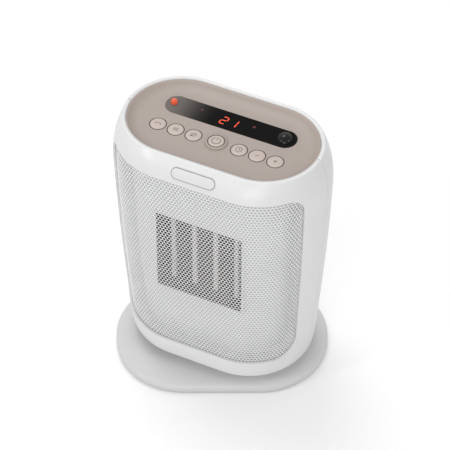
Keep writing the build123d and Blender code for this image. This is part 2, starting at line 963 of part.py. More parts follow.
def display_window():
    low = floor_z + window_proud - window_thickness
    half_x = window_half_length - glass_gap
    half_y = window_half_width - glass_gap
    glass = stadium_block(half_x, half_y, window_y, low, floor_z + window_proud)
    glass = glass - rod(lamp_radius + glass_gap, low - 1, floor_z + 2, lamp_x, lens_y)
    return glass - rod(eye_radius + glass_gap, low - 1, floor_z + 2, eye_x, lens_y)


def lens(radius, x, proud):
    """Domed lens that stands in the display window."""
    low = floor_z + window_proud - window_thickness
    top = floor_z + window_proud
    dome_radius = (radius**2 + proud**2) / (2 * proud)
    dome = Pos(x, lens_y, top + proud - dome_radius) * Sphere(dome_radius)
    dome = dome & rod(radius, top - 0.01, top + proud + 1, x, lens_y)
    return rod(radius, low, top, x, lens_y) + dome


def control_board():
    half_x = panel_half_x - board_margin
    half_y = panel_half_y - board_margin
    board = stadium_block(half_x, half_y, panel_y, board_top - board_thickness, board_top)
    hole = board_screw_radius + screw_head_room
    for x, y in board_bosses:
        board = board - rod(hole, board_top - board_thickness - 1, board_top + 1, x, y)
    return board


def tact_switches():
    switches = []
    for x in button_places.values():
        half = switch_half_width
        low = (x - half, button_row_y - half, board_top)
        body = box(low, (x + half, button_row_y + half, board_top + switch_body))
        plunger = rod(switch_plunger_radius, board_top + switch_body, switch_top, x, button_row_y)
        switches.append(body + plunger)
    return switches


def display_module():
    """Two-digit light module and the small light boxes beside it."""
    top = floor_z + window_proud - window_thickness - 0.2
    modules = [box((-14, window_y - 8, board_top), (18, window_y + 7, top))]
    modules.append(rod(2.5, board_top, top, lamp_x, lens_y))
    modules.append(rod(4.0, board_top, top, eye_x, lens_y))
    return modules


def badge_plane():
    """Where the plate lies on the sloping shoulder."""
    z, _, draw, _ = head_stations[badge_station]
    z_below, _, draw_below, _ = head_stations[badge_station - 1]
    z_above, _, draw_above, _ = head_stations[badge_station + 1]
    slope = math.atan2(draw_above - draw_below, z_above - z_below)
    return Plane(
        origin=(0, seam_y - head_front + draw, z),
        x_dir=(1, 0, 0),
        z_dir=(0, -math.cos(slope), math.sin(slope)),
    )


def badge(grow):
    """Blank oval plate let into the shoulder."""
    plane = badge_plane().offset(badge_proud - badge_thickness - grow)
    outline = SlotOverall(badge_length + 2 * grow, badge_width + 2 * grow)
    return extrude(plane * outline, badge_thickness + grow)


def casing_screw_set():
    """Screws that draw the rear casing to the front one."""
    solids = []
    for x, z in casing_screws:
        head = rod_y(screw_head, screw_seat_y, screw_seat_y + screw_head_height, x, z)
        shank = rod_y(screw_radius, seam_y - casing_boss_reach + 3, screw_seat_y, x, z)
        solids.append(head + shank)
    return solids


def board_screws():
    under = board_top - board_thickness
    return [
        Pos(x, y, under)
        * Rot(180, 0, 0)
        * screw(board_screw_radius, 2 * board_screw_radius, 1.6, board_thickness + board_screw_bite)
        for x, y in board_bosses
    ]


def involute(radius, base_radius):
    """Polar angle gained along the tooth flank at a radius."""
    if radius <= base_radius:
        return 0.0
    lean = math.acos(base_radius / radius)
    return math.tan(lean) - lean


def gear_tooth(teeth, centre_angle):
    """Points of one tooth, from the root on one side to the root on the other."""
    pitch_radius = gear_module * teeth / 2
    base_radius = pitch_radius * math.cos(math.radians(20))
    root = pitch_radius - 1.2 * gear_module
    tip = pitch_radius + 0.92 * gear_module
    half = math.pi / 2 / teeth - gear_backlash / 2 / pitch_radius
    half = half + involute(pitch_radius, base_radius)
    radii = [root, max(root + 0.1, base_radius), pitch_radius, tip]
    flank = [(r, half - involute(r, base_radius)) for r in radii]
    points = []
    for r, spread in flank:
        angle = centre_angle - spread
        points.append((r * math.cos(angle), r * math.sin(angle)))
    for r, spread in reversed(flank):
        angle = centre_angle + spread
        points.append((r * math.cos(angle), r * math.sin(angle)))
    return points


def sector_gear():
    """Fixed toothed sector on the post, which the pinion rolls along."""
    pitch = 2 * math.pi / sector_teeth
    first = math.pi / 2 - pitch * (sector_tooth_count - 1) / 2
    points = []
    for index in range(sector_tooth_count):
        points += gear_tooth(sector_teeth, first + index * pitch)
    last = first + (sector_tooth_count - 1) * pitch
    inner = post_radius + 2
    for angle in (last, first):
        points.append((inner * math.cos(angle), inner * math.sin(angle)))
    outline = make_face(Polyline(*points, close=True))
    toothed = extrude(Pos(0, 0, gear_bottom) * outline, gear_face)
    hub = rod(post_radius + sector_hub_wall, gear_bottom, gear_top)
    return toothed + hub - rod(post_radius, gear_bottom - 1, gear_top + 1)


def swing_pinion():
    """Pinion on the swing motor's shaft, turned to mesh at the resting place of the head."""
    pitch = 2 * math.pi / pinion_teeth
    points = []
    for index in range(pinion_teeth):
        points += gear_tooth(pinion_teeth, -math.pi / 2 + (index + 0.5) * pitch)
    outline = make_face(Polyline(*points, close=True))
    gear = extrude(Pos(0, 0, gear_bottom) * outline, gear_face)
    shaft = rod(pinion_shaft_radius, gear_bottom, swing_motor_z + pinion_shaft_depth)
    return Pos(0, pinion_y, 0) * Rot(0, 0, rest_turn * sector_teeth / pinion_teeth) * (gear + shaft)


# Height, then how far the edge of the foot is drawn in there
base_steps = [
    (base_skirt_bottom, 1.5),
    (3.5, 0.3),
    (6.3, 0.0),
    (9.0, 0.8),
    (11.3, 3.0),
    (13.1, 6.8),
    (14.8, 12.8),
    (16.4, 21.0),
    (17.7, 30.5),
    (18.6, 40.0),
]


def base_form(inset, drop):
    """Low dome of the foot. Each step is a height and how far the edge is drawn in there."""
    plans = []
    for z, draw in base_steps:
        back = draw + inset
        outline = RectangleRounded(
            2 * (base_half_width - 1.5 * back + 0.5 * inset),
            2 * (base_half_depth - back),
            base_corner - back,
        )
        plans.append((Pos(0, 0, z - drop) * outline).face().outer_wire())
    return Solid.make_loft(plans, ruled=True)


base_screw_places = [
    (side * x, y)
    for side in (-1, 1)
    for x, y in (
        (base_half_width - base_screw_side_inset, 0.0),
        (base_screw_spread, base_half_depth - base_screw_edge_inset),
        (base_screw_spread, base_screw_edge_inset - base_half_depth),
    )
]


def base_cover():
    """Domed foot with the neck and the hollow post that the head turns on."""
    back = base_half_depth + gland_proud
    far = 2 * base_half_width
    outer = base_form(0, 0) + rod(ring_outer + neck_wall, neck_low, neck_top)
    room = box((-far, -far, -far), (far, far, base_room_top))
    hollow = base_form(base_wall, base_wall) & room
    gland_boss = rod_y(gland_boss_radius, back - gland_boss_length, back, 0, gland_z)
    gland_boss = gland_boss & box((-far, 0, base_skirt_bottom), (far, far, far))
    neck_room = rod(ring_outer + neck_wall - base_wall, neck_low - 1, neck_top - base_wall - ring_groove)
    body = outer - hollow - neck_room
    body = body - extrude(base_plate_outline(0.0, 0.0), plate_top)
    body = body + gland_boss + rod(post_radius, plate_top, post_top)
    for x, y in base_screw_places:
        body = body + (rod(casing_boss_radius, plate_top, base_boss_top, x, y) & base_form(1.0, 1.0))
    body = body - rod(post_bore, plate_top - 1, post_top + 1)
    groove = rod(ring_outer + fit_gap, neck_top - ring_groove, head_bottom)
    body = body - (groove - rod(ring_inner - fit_gap, 0, head_bottom + 1))
    body = body - rod_y(gland_radius + 0.1, back - gland_length - 1, back + 1, 0, gland_z)
    for x, y in base_screw_places:
        body = body - rod(screw_radius + screw_hole_gap, 0, base_boss_top - base_wall, x, y)
    return body


def base_plate_outline(shrink, z):
    inset = base_wall + 1.5 + shrink
    outline = RectangleRounded(
        2 * (base_half_width - inset), 2 * (base_half_depth - inset), base_corner - inset
    )
    return Pos(0, 0, z) * outline


def base_plate():
    plate = extrude(base_plate_outline(fit_gap, base_skirt_bottom), base_plate_thickness)
    for x, y in base_screw_places:
        plate = plate - rod(screw_radius + 0.3, 0, 2 * plate_top, x, y)
        plate = plate - rod(screw_head + 0.3, 0, base_skirt_bottom + base_screw_sink, x, y)
    for x, y in foot_places:
        plate = plate - rod(foot_radius + 0.1, 0, foot_height, x, y)
    notch = gland_boss_radius + fit_gap
    notch_front = base_half_depth + gland_proud - gland_length - 1
    return plate - box((-notch, notch_front, 0), (notch, 2 * base_half_depth, 2 * plate_top))


foot_places = [
    (side * (base_half_width - foot_side_inset), end * (base_half_depth - foot_edge_inset))
    for side in (-1, 1)
    for end in (-1, 1)
]


def rubber_feet():
    feet = []
    for x, y in foot_places:
        foot = rod(foot_radius, 0, foot_height, x, y)
        feet.append(chamfer(foot.edges().filter_by(GeomType.CIRCLE).group_by(Axis.Z)[0], 0.5))
    return feet


def base_screws():
    return [
        Pos(x, y, base_skirt_bottom + base_screw_sink)
        * Rot(180, 0, 0)
        * screw(screw_radius, screw_head, 1.4, base_screw_length)
        for x, y in base_screw_places
    ]


def bearing_ring():
    """Slippery ring between the neck and the floor of the head."""
    low = neck_top - ring_groove
    high = head_bottom - fit_gap
    return rod(ring_outer, low, high) - rod(ring_inner, low - 1, high + 1)


def retaining_nut():
    """Ring nut that keeps the sector and the head on the post."""
    outer = post_radius + sector_hub_wall
    top = gear_top + nut_height
    half = nut_notch_width / 2
    notch = box((outer - nut_notch_depth, -half, gear_top + 1), (outer + 1, half, top + 1))
    notches = [Rot(0, 0, 60 * index) * notch for index in range(6)]
    return rod(outer, gear_top, top) - rod(post_radius, gear_top - 1, top + 1) - notches


def tilt_switch():
    """Sealed switch that cuts the heat when the heater tips."""
    body = box((38, -50, plate_top), (58, -40, plate_top + 6))
    return body + box((36, -47, plate_top), (60, -43, plate_top + 2))


def terminal_block():
    block = box((-44, 34, plate_top), (-16, 46, plate_top + 7))
    holes = [rod(2.2, plate_top + 3, plate_top + 8, x, 40) for x in (-39, -30, -21)]
    return block - holes


def cord_gland():
    """Grommet where the lead would enter the foot."""
    back = base_half_depth + gland_proud
    end = back + gland_collar
    sleeve = rod_y(gland_radius, back - gland_length, end, 0, gland_z)
    collar = rod_y(gland_boss_radius - 0.2, back, end, 0, gland_z)
    collar = chamfer(collar.edges().filter_by(GeomType.CIRCLE).group_by(Axis.Y)[-1], 0.8)
    return sleeve + collar - rod_y(gland_bore, back - gland_length - 1, end + 1, 0, gland_z)


def group(solids):
    """Separate solids kept together under one name."""
    first, *others = solids
    return first + others


def make_base():
    save(base_cover(), "base_cover")
    save(base_plate(), "base_plate")
    save(group(rubber_feet()), "rubber_feet")
    save(group(base_screws()), "base_screws")
    save(bearing_ring(), "bearing_ring")
    save(sector_gear(), "sector_gear")
    save(retaining_nut(), "retaining_nut")
    save(tilt_switch(), "tilt_switch")
    save(terminal_block(), "terminal_block")
    save(cord_gland(), "cord_gland")


def make_head():
    front, rear = front_and_rear_shells()
    save_head(front_shell(front), "front_shell")
    save_head(rear_shell(rear), "rear_shell")
    save_head(front_grille(), "front_grille")
    save_head(outlet_housing(), "outlet_housing")
    save_head(heater_frame(), "heater_frame")
    save_head(group(heater_bars()), "heater_bars")
    save_head(group(heater_fins()), "heater_fins")
    save_head(group(heater_terminals()), "heater_terminals")
    save_head(thermal_cutout(), "thermal_cutout")
    save_head(fan_shroud(), "fan_shroud")
    save_head(fan_motor(), "fan_motor")
    save_head(group(duct_screws()), "duct_screws")
    save_head(intake_grille(), "intake_grille")
    save_head(dust_filter(), "dust_filter")
    save_head(head_deck(), "head_deck")
    save_head(swing_motor(), "swing_motor")
    save_head(power_board(), "power_board")
    save_head(group(power_parts()), "power_parts")
    save_head(group(casing_screw_set()), "casing_screws")
    save_head(badge(0), "badge_plate")


def make_controls():
    save_head(top_panel(), "top_panel")
    save_head(display_window(), "display_window")
    save_head(lens(lamp_radius, lamp_x, lamp_proud), "lamp_lens")
    save_head(lens(eye_radius, eye_x, eye_proud), "receiver_lens")
    save_head(power_collar(), "power_collar")
    save_head(control_board(), "control_board")
    save_head(group(board_screws()), "board_screws")
    save_head(group(tact_switches()), "tact_switches")
    save_head(group(display_module()), "display_module")
    for name, x in button_places.items():
        proud = power_proud if name == "power_button" else button_proud
        save_head(Pos(x, button_row_y, 0) * button(proud), name)


def make_moving():
    save_head(impeller(), "impeller")
    save_head(fan_shaft(), "fan_shaft")
    save_head(swing_pinion(), "swing_pinion")


make_base()
make_head()
make_controls()
make_moving()
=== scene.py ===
# %% [markdown]
# # A swinging ceramic fan heater
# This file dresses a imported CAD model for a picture. The CAD parts come in as a fixed frame, in metres,
# and stay where they are. Each step below says what the real piece is, how it could be made, and why
# this way was chosen.

# %% Load the frame
import json
import math

import bmesh
import bpy
import numpy as np
from mathutils import Matrix, Vector


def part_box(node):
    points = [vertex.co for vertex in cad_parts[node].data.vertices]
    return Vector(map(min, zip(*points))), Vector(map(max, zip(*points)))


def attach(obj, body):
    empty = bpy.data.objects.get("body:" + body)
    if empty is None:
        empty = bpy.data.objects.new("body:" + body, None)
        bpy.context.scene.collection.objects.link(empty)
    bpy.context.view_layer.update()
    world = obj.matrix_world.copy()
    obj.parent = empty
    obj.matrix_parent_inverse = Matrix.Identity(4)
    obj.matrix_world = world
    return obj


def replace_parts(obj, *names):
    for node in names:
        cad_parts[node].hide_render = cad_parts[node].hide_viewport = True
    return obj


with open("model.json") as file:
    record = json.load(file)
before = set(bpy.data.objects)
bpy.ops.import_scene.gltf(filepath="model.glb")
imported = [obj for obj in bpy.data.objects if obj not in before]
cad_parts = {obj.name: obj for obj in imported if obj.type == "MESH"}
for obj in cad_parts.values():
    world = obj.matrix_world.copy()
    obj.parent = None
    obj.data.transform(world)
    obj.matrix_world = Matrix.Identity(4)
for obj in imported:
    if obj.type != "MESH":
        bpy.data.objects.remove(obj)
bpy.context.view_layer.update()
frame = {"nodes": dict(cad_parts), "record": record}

# %% [markdown]
# ## Sizes that the looks share with the heater
# The head is drawn facing straight ahead and then turned with its casing, as the CAD does. Sizes below
# are in millimetres, and `mm` turns them into metres where a mesh is made. Only `merge_distance`, under
# which two corners count as one, is in metres.

# %% Sizes
mm = 0.001
merge_distance = 2e-6
rest_turn_degrees = -25.6
rest_turn = Matrix.Rotation(math.radians(rest_turn_degrees), 4, "Z")
seam_y = 2.0
head_half_width = 103.0
head_front = 67.0
panel_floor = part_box("power_collar")[0][2] / mm
key_row_y = -12.0
print("panel floor at", round(panel_floor, 2), "mm")

# %% [markdown]
# ## Shader maths as Python sums
# A node tree is easier to read as a sum than as a drawing. `Flow` wraps one output socket, so that
# `1 - mask` or `noise * 0.02` adds the Math nodes by itself. `Recipe` starts a material, and its one
# method `node` makes any other node from its type, its settings and its sockets.


# %% Flow and Recipe
class Flow:
    """A value on its way through a material."""

    def __init__(self, recipe, socket):
        self.recipe = recipe
        self.socket = socket

    def combine(self, operation, first, second):
        return self.recipe.node("ShaderNodeMath", {"operation": operation}, {0: first, 1: second})

    def __add__(self, other):
        return self.combine("ADD", self, other)

    def __radd__(self, other):
        return self.combine("ADD", other, self)

    def __sub__(self, other):
        return self.combine("SUBTRACT", self, other)

    def __rsub__(self, other):
        return self.combine("SUBTRACT", other, self)

    def __mul__(self, other):
        return self.combine("MULTIPLY", self, other)

    def __rmul__(self, other):
        return self.combine("MULTIPLY", other, self)


class Recipe:
    """A material in the making, with its Principled shader."""

    def __init__(self, name, **constants):
        self.material = bpy.data.materials.new(name)
        self.material.use_nodes = True
        self.tree = self.material.node_tree
        self.tree.nodes.clear()
        self.shader = self.tree.nodes.new("ShaderNodeBsdfPrincipled")
        output = self.tree.nodes.new("ShaderNodeOutputMaterial")
        self.tree.links.new(self.shader.outputs[0], output.inputs["Surface"])
        self.place = self.node("ShaderNodeTexCoord", out="Object")
        for socket, value in constants.items():
            self.feed(socket.replace("_", " "), value)

    def node(self, kind, settings=None, sockets=None, out=0):
        made = self.tree.nodes.new(kind)
        for name, value in (settings or {}).items():
            if name == "stops":
                for index, (position, colour) in enumerate(value):
                    if index > 1:
                        made.color_ramp.elements.new(position)
                    made.color_ramp.elements[index].position = position
                    made.color_ramp.elements[index].color = colour
            else:
                setattr(made, name, value)
        for name, value in (sockets or {}).items():
            if isinstance(value, Flow):
                self.tree.links.new(value.socket, made.inputs[name])
            else:
                made.inputs[name].default_value = value
        return Flow(self, made.outputs[out])

    def feed(self, socket, value):
        target = self.shader.inputs[socket]
        if isinstance(value, Flow):
            self.tree.links.new(value.socket, target)
        else:
            target.default_value = value

    def noise(self, size_mm, detail=2.0, place=None):
        """Noise whose lumps are about this size."""
        sockets = {"Vector": place or self.place, "Scale": 1 / (size_mm * mm), "Detail": detail}
        return self.node("ShaderNodeTexNoise", {}, sockets)

    def stretched(self, size_x, size_y, size_z):
        """Object coordinates in units of three sizes in millimetres."""
        scale = (1 / (size_x * mm), 1 / (size_y * mm), 1 / (size_z * mm))
        return self.node("ShaderNodeMapping", {}, {"Vector": self.place, "Scale": scale})

    def on_head(self):
        """Object coordinates turned back, so that X runs along the head and Y from front to back."""
        turn = (0.0, 0.0, math.radians(-rest_turn_degrees))
        turned = self.node("ShaderNodeMapping", {}, {"Vector": self.place, "Rotation": turn})
        parts = self.tree.nodes.new("ShaderNodeSeparateXYZ")
        self.tree.links.new(turned.socket, parts.inputs[0])
        return [Flow(self, parts.outputs[axis]) for axis in range(3)]

    def ramp(self, value, start_mm, end_mm):
        """Goes from 0 to 1 as a length passes from start to end."""
        sockets = {"Value": value, "From Min": start_mm * mm, "From Max": end_mm * mm}
        return self.node("ShaderNodeMapRange", {"interpolation_type": "SMOOTHSTEP"}, sockets)

    def between(self, value, low_mm, high_mm, blend_mm):
        """1 between two lengths and 0 outside them, with a soft step at both."""
        rising = self.ramp(value, low_mm - blend_mm, low_mm + blend_mm)
        return rising * (1 - self.ramp(value, high_mm - blend_mm, high_mm + blend_mm))

    def mix(self, share, first, second):
        sockets = {0: share, 6: first, 7: second}
        return self.node("ShaderNodeMix", {"data_type": "RGBA"}, sockets, out=2)

    def bump(self, height, depth_mm):
        sockets = {"Height": height, "Distance": depth_mm * mm, "Strength": 1.0}
        self.feed("Normal", self.node("ShaderNodeBump", {}, sockets))


def tone(colour, factor):
    """A colour made lighter or darker."""
    return (*[min(1.0, c * factor) for c in colour], 1.0)


print("Flow and Recipe are ready")

# %% [markdown]
# ## Moulded plastic
# Most of the heater is injection-moulded. Such a skin is never one flat colour: it has a faint orange
# peel, slow changes of tone where the melt cooled, and a gloss that varies a little. A photo texture
# could hold that, but noise on Object coordinates does it at any scale and needs no file.


# %% Moulded plastic
melt_patch = 38.0


def moulded(name, colour, roughness, peel_mm=0.9, peel_depth=0.006, mottling=0.02):
    recipe = Recipe(name)
    slow = recipe.noise(melt_patch, 3.0)
    low = tone(colour, 1 - mottling)
    high = tone(colour, 1 + mottling)
    recipe.feed("Base Color", recipe.mix(slow, low, high))
    recipe.feed("Roughness", recipe.noise(7.0, 4.0) * 0.08 + (roughness - 0.04))
    recipe.bump(recipe.noise(peel_mm, 3.0), peel_depth)
    return recipe.material


casing_white = moulded("casing_white", (0.72, 0.72, 0.725), 0.30)
foot_white = moulded("foot_white", (0.62, 0.62, 0.625), 0.40, 0.9, 0.003)
panel_taupe = moulded("panel_taupe", (0.364, 0.306, 0.272), 0.46, 0.35, 0.010, 0.03)
key_beige = moulded("key_beige", (0.50, 0.425, 0.385), 0.34, 0.5, 0.003, 0.02)
duct_pale = moulded("duct_pale", (0.66, 0.67, 0.68), 0.55, 0.6, 0.010, 0.04)
plate_grey = moulded("plate_grey", (0.60, 0.60, 0.60), 0.55, 0.5, 0.012, 0.05)
fan_dark = moulded("fan_dark", (0.020, 0.021, 0.023), 0.45, 0.5, 0.010, 0.10)
heater_dark = moulded("heater_dark", (0.008, 0.0075, 0.007), 0.62, 0.5, 0.012, 0.15)
bar_grey = moulded("bar_grey", (0.36, 0.36, 0.37), 0.55, 0.5, 0.012, 0.10)
# Near black: the painted shade in the gaps round the keys.
gap_shade_dark = moulded("gap_shade_dark", (0.050, 0.033, 0.028), 0.70, 0.5, 0.006, 0.15)
badge_white = moulded("badge_white", (0.70, 0.70, 0.71), 0.30, 0.5, 0.003, 0.02)
badge_line = moulded("badge_line", (0.36, 0.36, 0.37), 0.45, 0.5, 0.003, 0.08)
part_dark = moulded("part_dark", (0.03, 0.032, 0.036), 0.40, 0.5, 0.006, 0.10)
gear_natural = moulded("gear_natural", (0.74, 0.73, 0.68), 0.38, 0.6, 0.004, 0.02)


throat_half_width = 44.0
throat_low = 104.2
throat_high = 197.8
throat_mouth_y = -48.65
throat_shade_blend = 0.2
mouth_blend = 0.25


def throat_plastic(name, pale, dark):
    """Pale outside, and near black inside the square throat of the duct: painted shade deep in the duct.
    """
    recipe = Recipe(name)
    x, y, z = recipe.on_head()
    # The near black inside the throat is painted shade.
    inside_x = recipe.between(x, -throat_half_width, throat_half_width, throat_shade_blend)
    inside_z = recipe.between(z, throat_low, throat_high, throat_shade_blend)
    behind = recipe.ramp(y, throat_mouth_y - mouth_blend, throat_mouth_y + mouth_blend)
    slow = recipe.noise(melt_patch, 3.0)
    outer = recipe.mix(slow, tone(pale, 0.95), tone(pale, 1.04))
    inner = recipe.mix(slow, tone(dark, 0.85), tone(dark, 1.2))
    recipe.feed("Base Color", recipe.mix(inside_x * inside_z * behind, outer, inner))
    recipe.feed("Roughness", recipe.noise(7.0, 4.0) * 0.12 + 0.5)
    recipe.bump(recipe.noise(0.6, 3.0), 0.008)
    return recipe.material


# Its dark colour inside the throat is painted shade.
outlet_grey = throat_plastic("outlet_grey", (0.58, 0.585, 0.59), (0.004, 0.004, 0.004))
print("moulded finishes made")

# %% [markdown]
# ## Powder coat, metals and rubber
# The punched sheet wears powder coat, which is a little rougher than the moulded casing. Steel cans and
# screws show fine drawn streaks, which a noise stretched along one axis gives.


# %% Powder coat, metals and rubber
def powder_coat(name, colour):
    recipe = Recipe(name)
    grain = recipe.noise(0.22, 4.0)
    recipe.feed("Base Color", recipe.mix(recipe.noise(22.0), tone(colour, 0.97), tone(colour, 1.02)))
    recipe.feed("Roughness", grain * 0.14 + 0.40)
    recipe.bump(grain, 0.008)
    return recipe.material


def drawn_metal(name, colour, roughness, streaks):
    recipe = Recipe(name, Metallic=1.0)
    lines = recipe.noise(1.0, 5.0, recipe.stretched(*streaks))
    recipe.feed("Base Color", recipe.mix(lines, tone(colour, 0.82), tone(colour, 1.08)))
    recipe.feed("Roughness", lines * 0.22 + (roughness - 0.08))
    recipe.bump(lines, 0.006)
    return recipe.material


def soft_rubber(name, colour):
    recipe = Recipe(name)
    grain = recipe.noise(0.4, 5.0)
    dust = recipe.noise(6.0, 3.0)
    recipe.feed("Base Color", recipe.mix(dust, tone(colour, 0.8), tone(colour, 1.4)))
    recipe.feed("Roughness", grain * 0.15 + 0.68)
    recipe.bump(grain, 0.02)
    return recipe.material


# Lighter than the casing: white powder coat, with painted sheen for the glints on the webs' rounded edges.
grille_white_and_sheen = powder_coat("grille_white_and_sheen", (0.94, 0.94, 0.945))
steel = drawn_metal("steel", (0.60, 0.60, 0.62), 0.34, (0.25, 0.25, 12.0))
brass = drawn_metal("brass", (0.66, 0.52, 0.28), 0.36, (0.3, 6.0, 0.3))
core_aluminium = drawn_metal("core_aluminium", (0.035, 0.035, 0.037), 0.60, (0.5, 0.5, 8.0))
plate_satin = drawn_metal("plate_satin", (0.74, 0.74, 0.75), 0.36, (9.0, 0.2, 0.2))
foot_rubber = soft_rubber("foot_rubber", (0.03, 0.03, 0.03))
gland_rubber = soft_rubber("gland_rubber", (0.62, 0.62, 0.61))
print("coated, metal and rubber finishes made")

# %% [markdown]
# ## Display, lenses and lights
# The window is a strip of smoky gloss plastic. The digits behind it glow orange-red, and the lamp lens
# is red and lit. A lens that glows needs both a colour and an emission, or it goes grey where no light
# falls on it.


# %% Display, lenses and lights
def smoked_gloss(name, colour, roughness, specular=0.5):
    recipe = Recipe(name, Specular_IOR_Level=specular)
    smear = recipe.noise(16.0, 4.0)
    recipe.feed("Base Color", recipe.mix(smear, tone(colour, 0.8), tone(colour, 1.3)))
    recipe.feed("Roughness", smear * 0.02 + roughness)
    return recipe.material


# Along the head: the painted reflection on the window is full at its left end and gone by the second
# place.
painted_glare_left = -62.0
painted_glare_right = -6.0


def window_gloss(name, colour, painted_glare):
    """Black gloss that turns grey towards its left end: a painted reflection of glare there."""
    recipe = Recipe(name, Specular_IOR_Level=0.06)
    x, _, _ = recipe.on_head()
    smear = recipe.noise(16.0, 4.0)
    left = 1 - recipe.ramp(x, painted_glare_left, painted_glare_right)
    deep = recipe.mix(smear, tone(colour, 0.8), tone(colour, 1.3))
    # The grey share is a painted reflection, strongest at the left end.
    recipe.feed("Base Color", recipe.mix(left * left, deep, painted_glare))
    recipe.feed("Roughness", smear * 0.08 + 0.06)
    return recipe.material


def lit(name, colour, strength, roughness=0.4):
    recipe = Recipe(name, Emission_Strength=strength, Roughness=roughness)
    flicker = recipe.noise(1.2, 2.0)
    glow = recipe.mix(flicker, tone(colour, 0.86), tone(colour, 1.0))
    recipe.feed("Base Color", tone(colour, 0.4))
    recipe.feed("Emission Color", glow)
    return recipe.material


# The last colour is the grey of the painted reflection at the window's left end.
window_black = window_gloss("window_black", (0.0035, 0.003, 0.003), (0.17, 0.155, 0.145, 1))
receiver_black = smoked_gloss("receiver_black", (0.003, 0.0025, 0.0025), 0.015, 0.26)
digit_glow = lit("digit_glow", (0.80, 0.065, 0.010), 1.0)
mark_glow = lit("mark_glow", (0.20, 0.008, 0.02), 0.5)
lamp_glow = lit("lamp_glow", (0.95, 0.13, 0.05), 0.45, 0.12)
print("display finishes made")

# %% [markdown]
# ## Boards, filter and printed marks
# The circuit boards are green laminate with paler tracks. The dust filter is a fine net: two crossed
# waves in Object space stand for its threads, because a real net of that size would be millions of faces.


# %% Boards, filter and printed marks
def laminate(name):
    recipe = Recipe(name)
    cells = recipe.node(
        "ShaderNodeTexBrick",
        {"offset": 0.37},
        {"Vector": recipe.place, "Scale": 110.0, "Mortar Size": 0.03},
        out="Fac",
    )
    colour = recipe.mix(cells, (0.016, 0.085, 0.040, 1), (0.045, 0.16, 0.075, 1))
    recipe.feed("Base Color", colour)
    recipe.feed("Roughness", recipe.noise(4.0) * 0.12 + 0.28)
    recipe.bump(cells, 0.03)
    return recipe.material


def filter_net(name):
    recipe = Recipe(name)
    sockets = {"Vector": recipe.place, "Scale": 400.0}
    along = recipe.node("ShaderNodeTexWave", {"bands_direction": "Z"}, sockets)
    across = recipe.node("ShaderNodeTexWave", {"bands_direction": "X"}, sockets)
    threads = recipe.node("ShaderNodeMath", {"operation": "MAXIMUM"}, {0: along, 1: across})
    recipe.feed("Base Color", recipe.mix(threads, (0.01, 0.01, 0.011, 1), (0.10, 0.10, 0.105, 1)))
    recipe.feed("Roughness", threads * -0.2 + 0.85)
    recipe.bump(threads, 0.2)
    return recipe.material


def printed(name, colour):
    recipe = Recipe(name)
    recipe.feed("Base Color", recipe.mix(recipe.noise(0.6, 3.0), tone(colour, 0.85), tone(colour, 1.15)))
    recipe.feed("Roughness", recipe.noise(0.8) * 0.1 + 0.45)
    return recipe.material


board_green = laminate("board_green")
filter_mesh = filter_net("filter_mesh")
print_brown = printed("print_brown", (0.11, 0.08, 0.065))
print("board, filter and print finishes made")

# %% [markdown]
# ## A finish for every CAD part
# One table says which finish each part wears. Assigning a material changes no shape, so the CAD parts
# stay as packed.

# %% A finish for every CAD part
finishes = {
    casing_white: ["front_shell", "rear_shell", "intake_grille"],
    foot_white: ["base_cover"],
    panel_taupe: ["top_panel", "power_collar"],
    duct_pale: ["head_deck"],
    outlet_grey: ["outlet_housing"],
    plate_grey: ["base_plate"],
    fan_dark: ["impeller", "fan_shroud"],
    heater_dark: ["heater_frame", "thermal_cutout"],
    bar_grey: ["heater_bars"],
    part_dark: ["power_parts", "terminal_block", "tilt_switch", "tact_switches", "display_module"],
    gear_natural: ["sector_gear", "swing_pinion", "retaining_nut", "bearing_ring"],
    grille_white_and_sheen: ["front_grille"],
    steel: [kind + "_screws" for kind in ("base", "casing", "duct", "board")]
    + ["fan_motor", "swing_motor", "fan_shaft"],
    brass: ["heater_terminals"],
    core_aluminium: ["heater_fins"],
    plate_satin: ["badge_plate"],
    foot_rubber: ["rubber_feet"],
    gland_rubber: ["cord_gland"],
    window_black: ["display_window"],
    receiver_black: ["receiver_lens"],
    lamp_glow: ["lamp_lens"],
    board_green: ["power_board", "control_board"],
    filter_mesh: ["dust_filter"],
}
keys = [word + "_button" for word in ("swing", "mode", "eco", "power", "timer", "minus", "plus")]
finishes[key_beige] = keys
for material, nodes in finishes.items():
    for node in nodes:
        part = frame["nodes"][node]
        part.data.materials.clear()
        part.data.materials.append(material)
unfinished = set(frame["nodes"]) - {n for nodes in finishes.values() for n in nodes}
print(len(finishes), "finishes, parts left without one:", sorted(unfinished))

# %% [markdown]
# ## How the head and the foot swell
# The head swells a little from its foot to its rim: straight in the middle, round at both ends. A table
# gives how far the side, the front and the back are drawn in at each height, and heights between two
# rows are read off a straight line, as on the casing itself. The foot has a table of its own. The
# tables shape the punched sheet below. They also tell which way a skin faces at any point, so that
# shading runs evenly over it, whatever triangles the CAD happened to cut it into.

# %% How the head and the foot swell
head_bottom = 26.0
head_top = 275.0
head_rear = 63.0
head_shares = np.array(
    [
        (0.0, 14.5, 6.5, 3.0),
        (0.010, 13.1, 5.6, 2.2),
        (0.032, 12.0, 5.0, 1.5),
        (0.088, 10.7, 4.4, 1.2),
        (0.277, 7.1, 2.95, 0.7),
        (0.478, 3.7, 1.4, 0.2),
        (0.679, 1.2, 0.3, 0.0),
        (0.819, 0.0, 0.0, 0.6),
        (0.867, 0.15, 0.3, 1.1),
        (0.900, 0.85, 0.95, 1.6),
        (0.924, 1.9, 2.0, 2.3),
        (0.944, 3.1, 3.7, 3.2),
        (0.962, 4.5, 6.0, 4.5),
        (0.978, 5.9, 8.9, 6.1),
        (0.990, 7.05, 11.6, 7.7),
        (1.0, 8.0, 14.0, 9.2),
    ]
)
draw_heights = head_bottom + head_shares[:, 0] * (head_top - head_bottom)
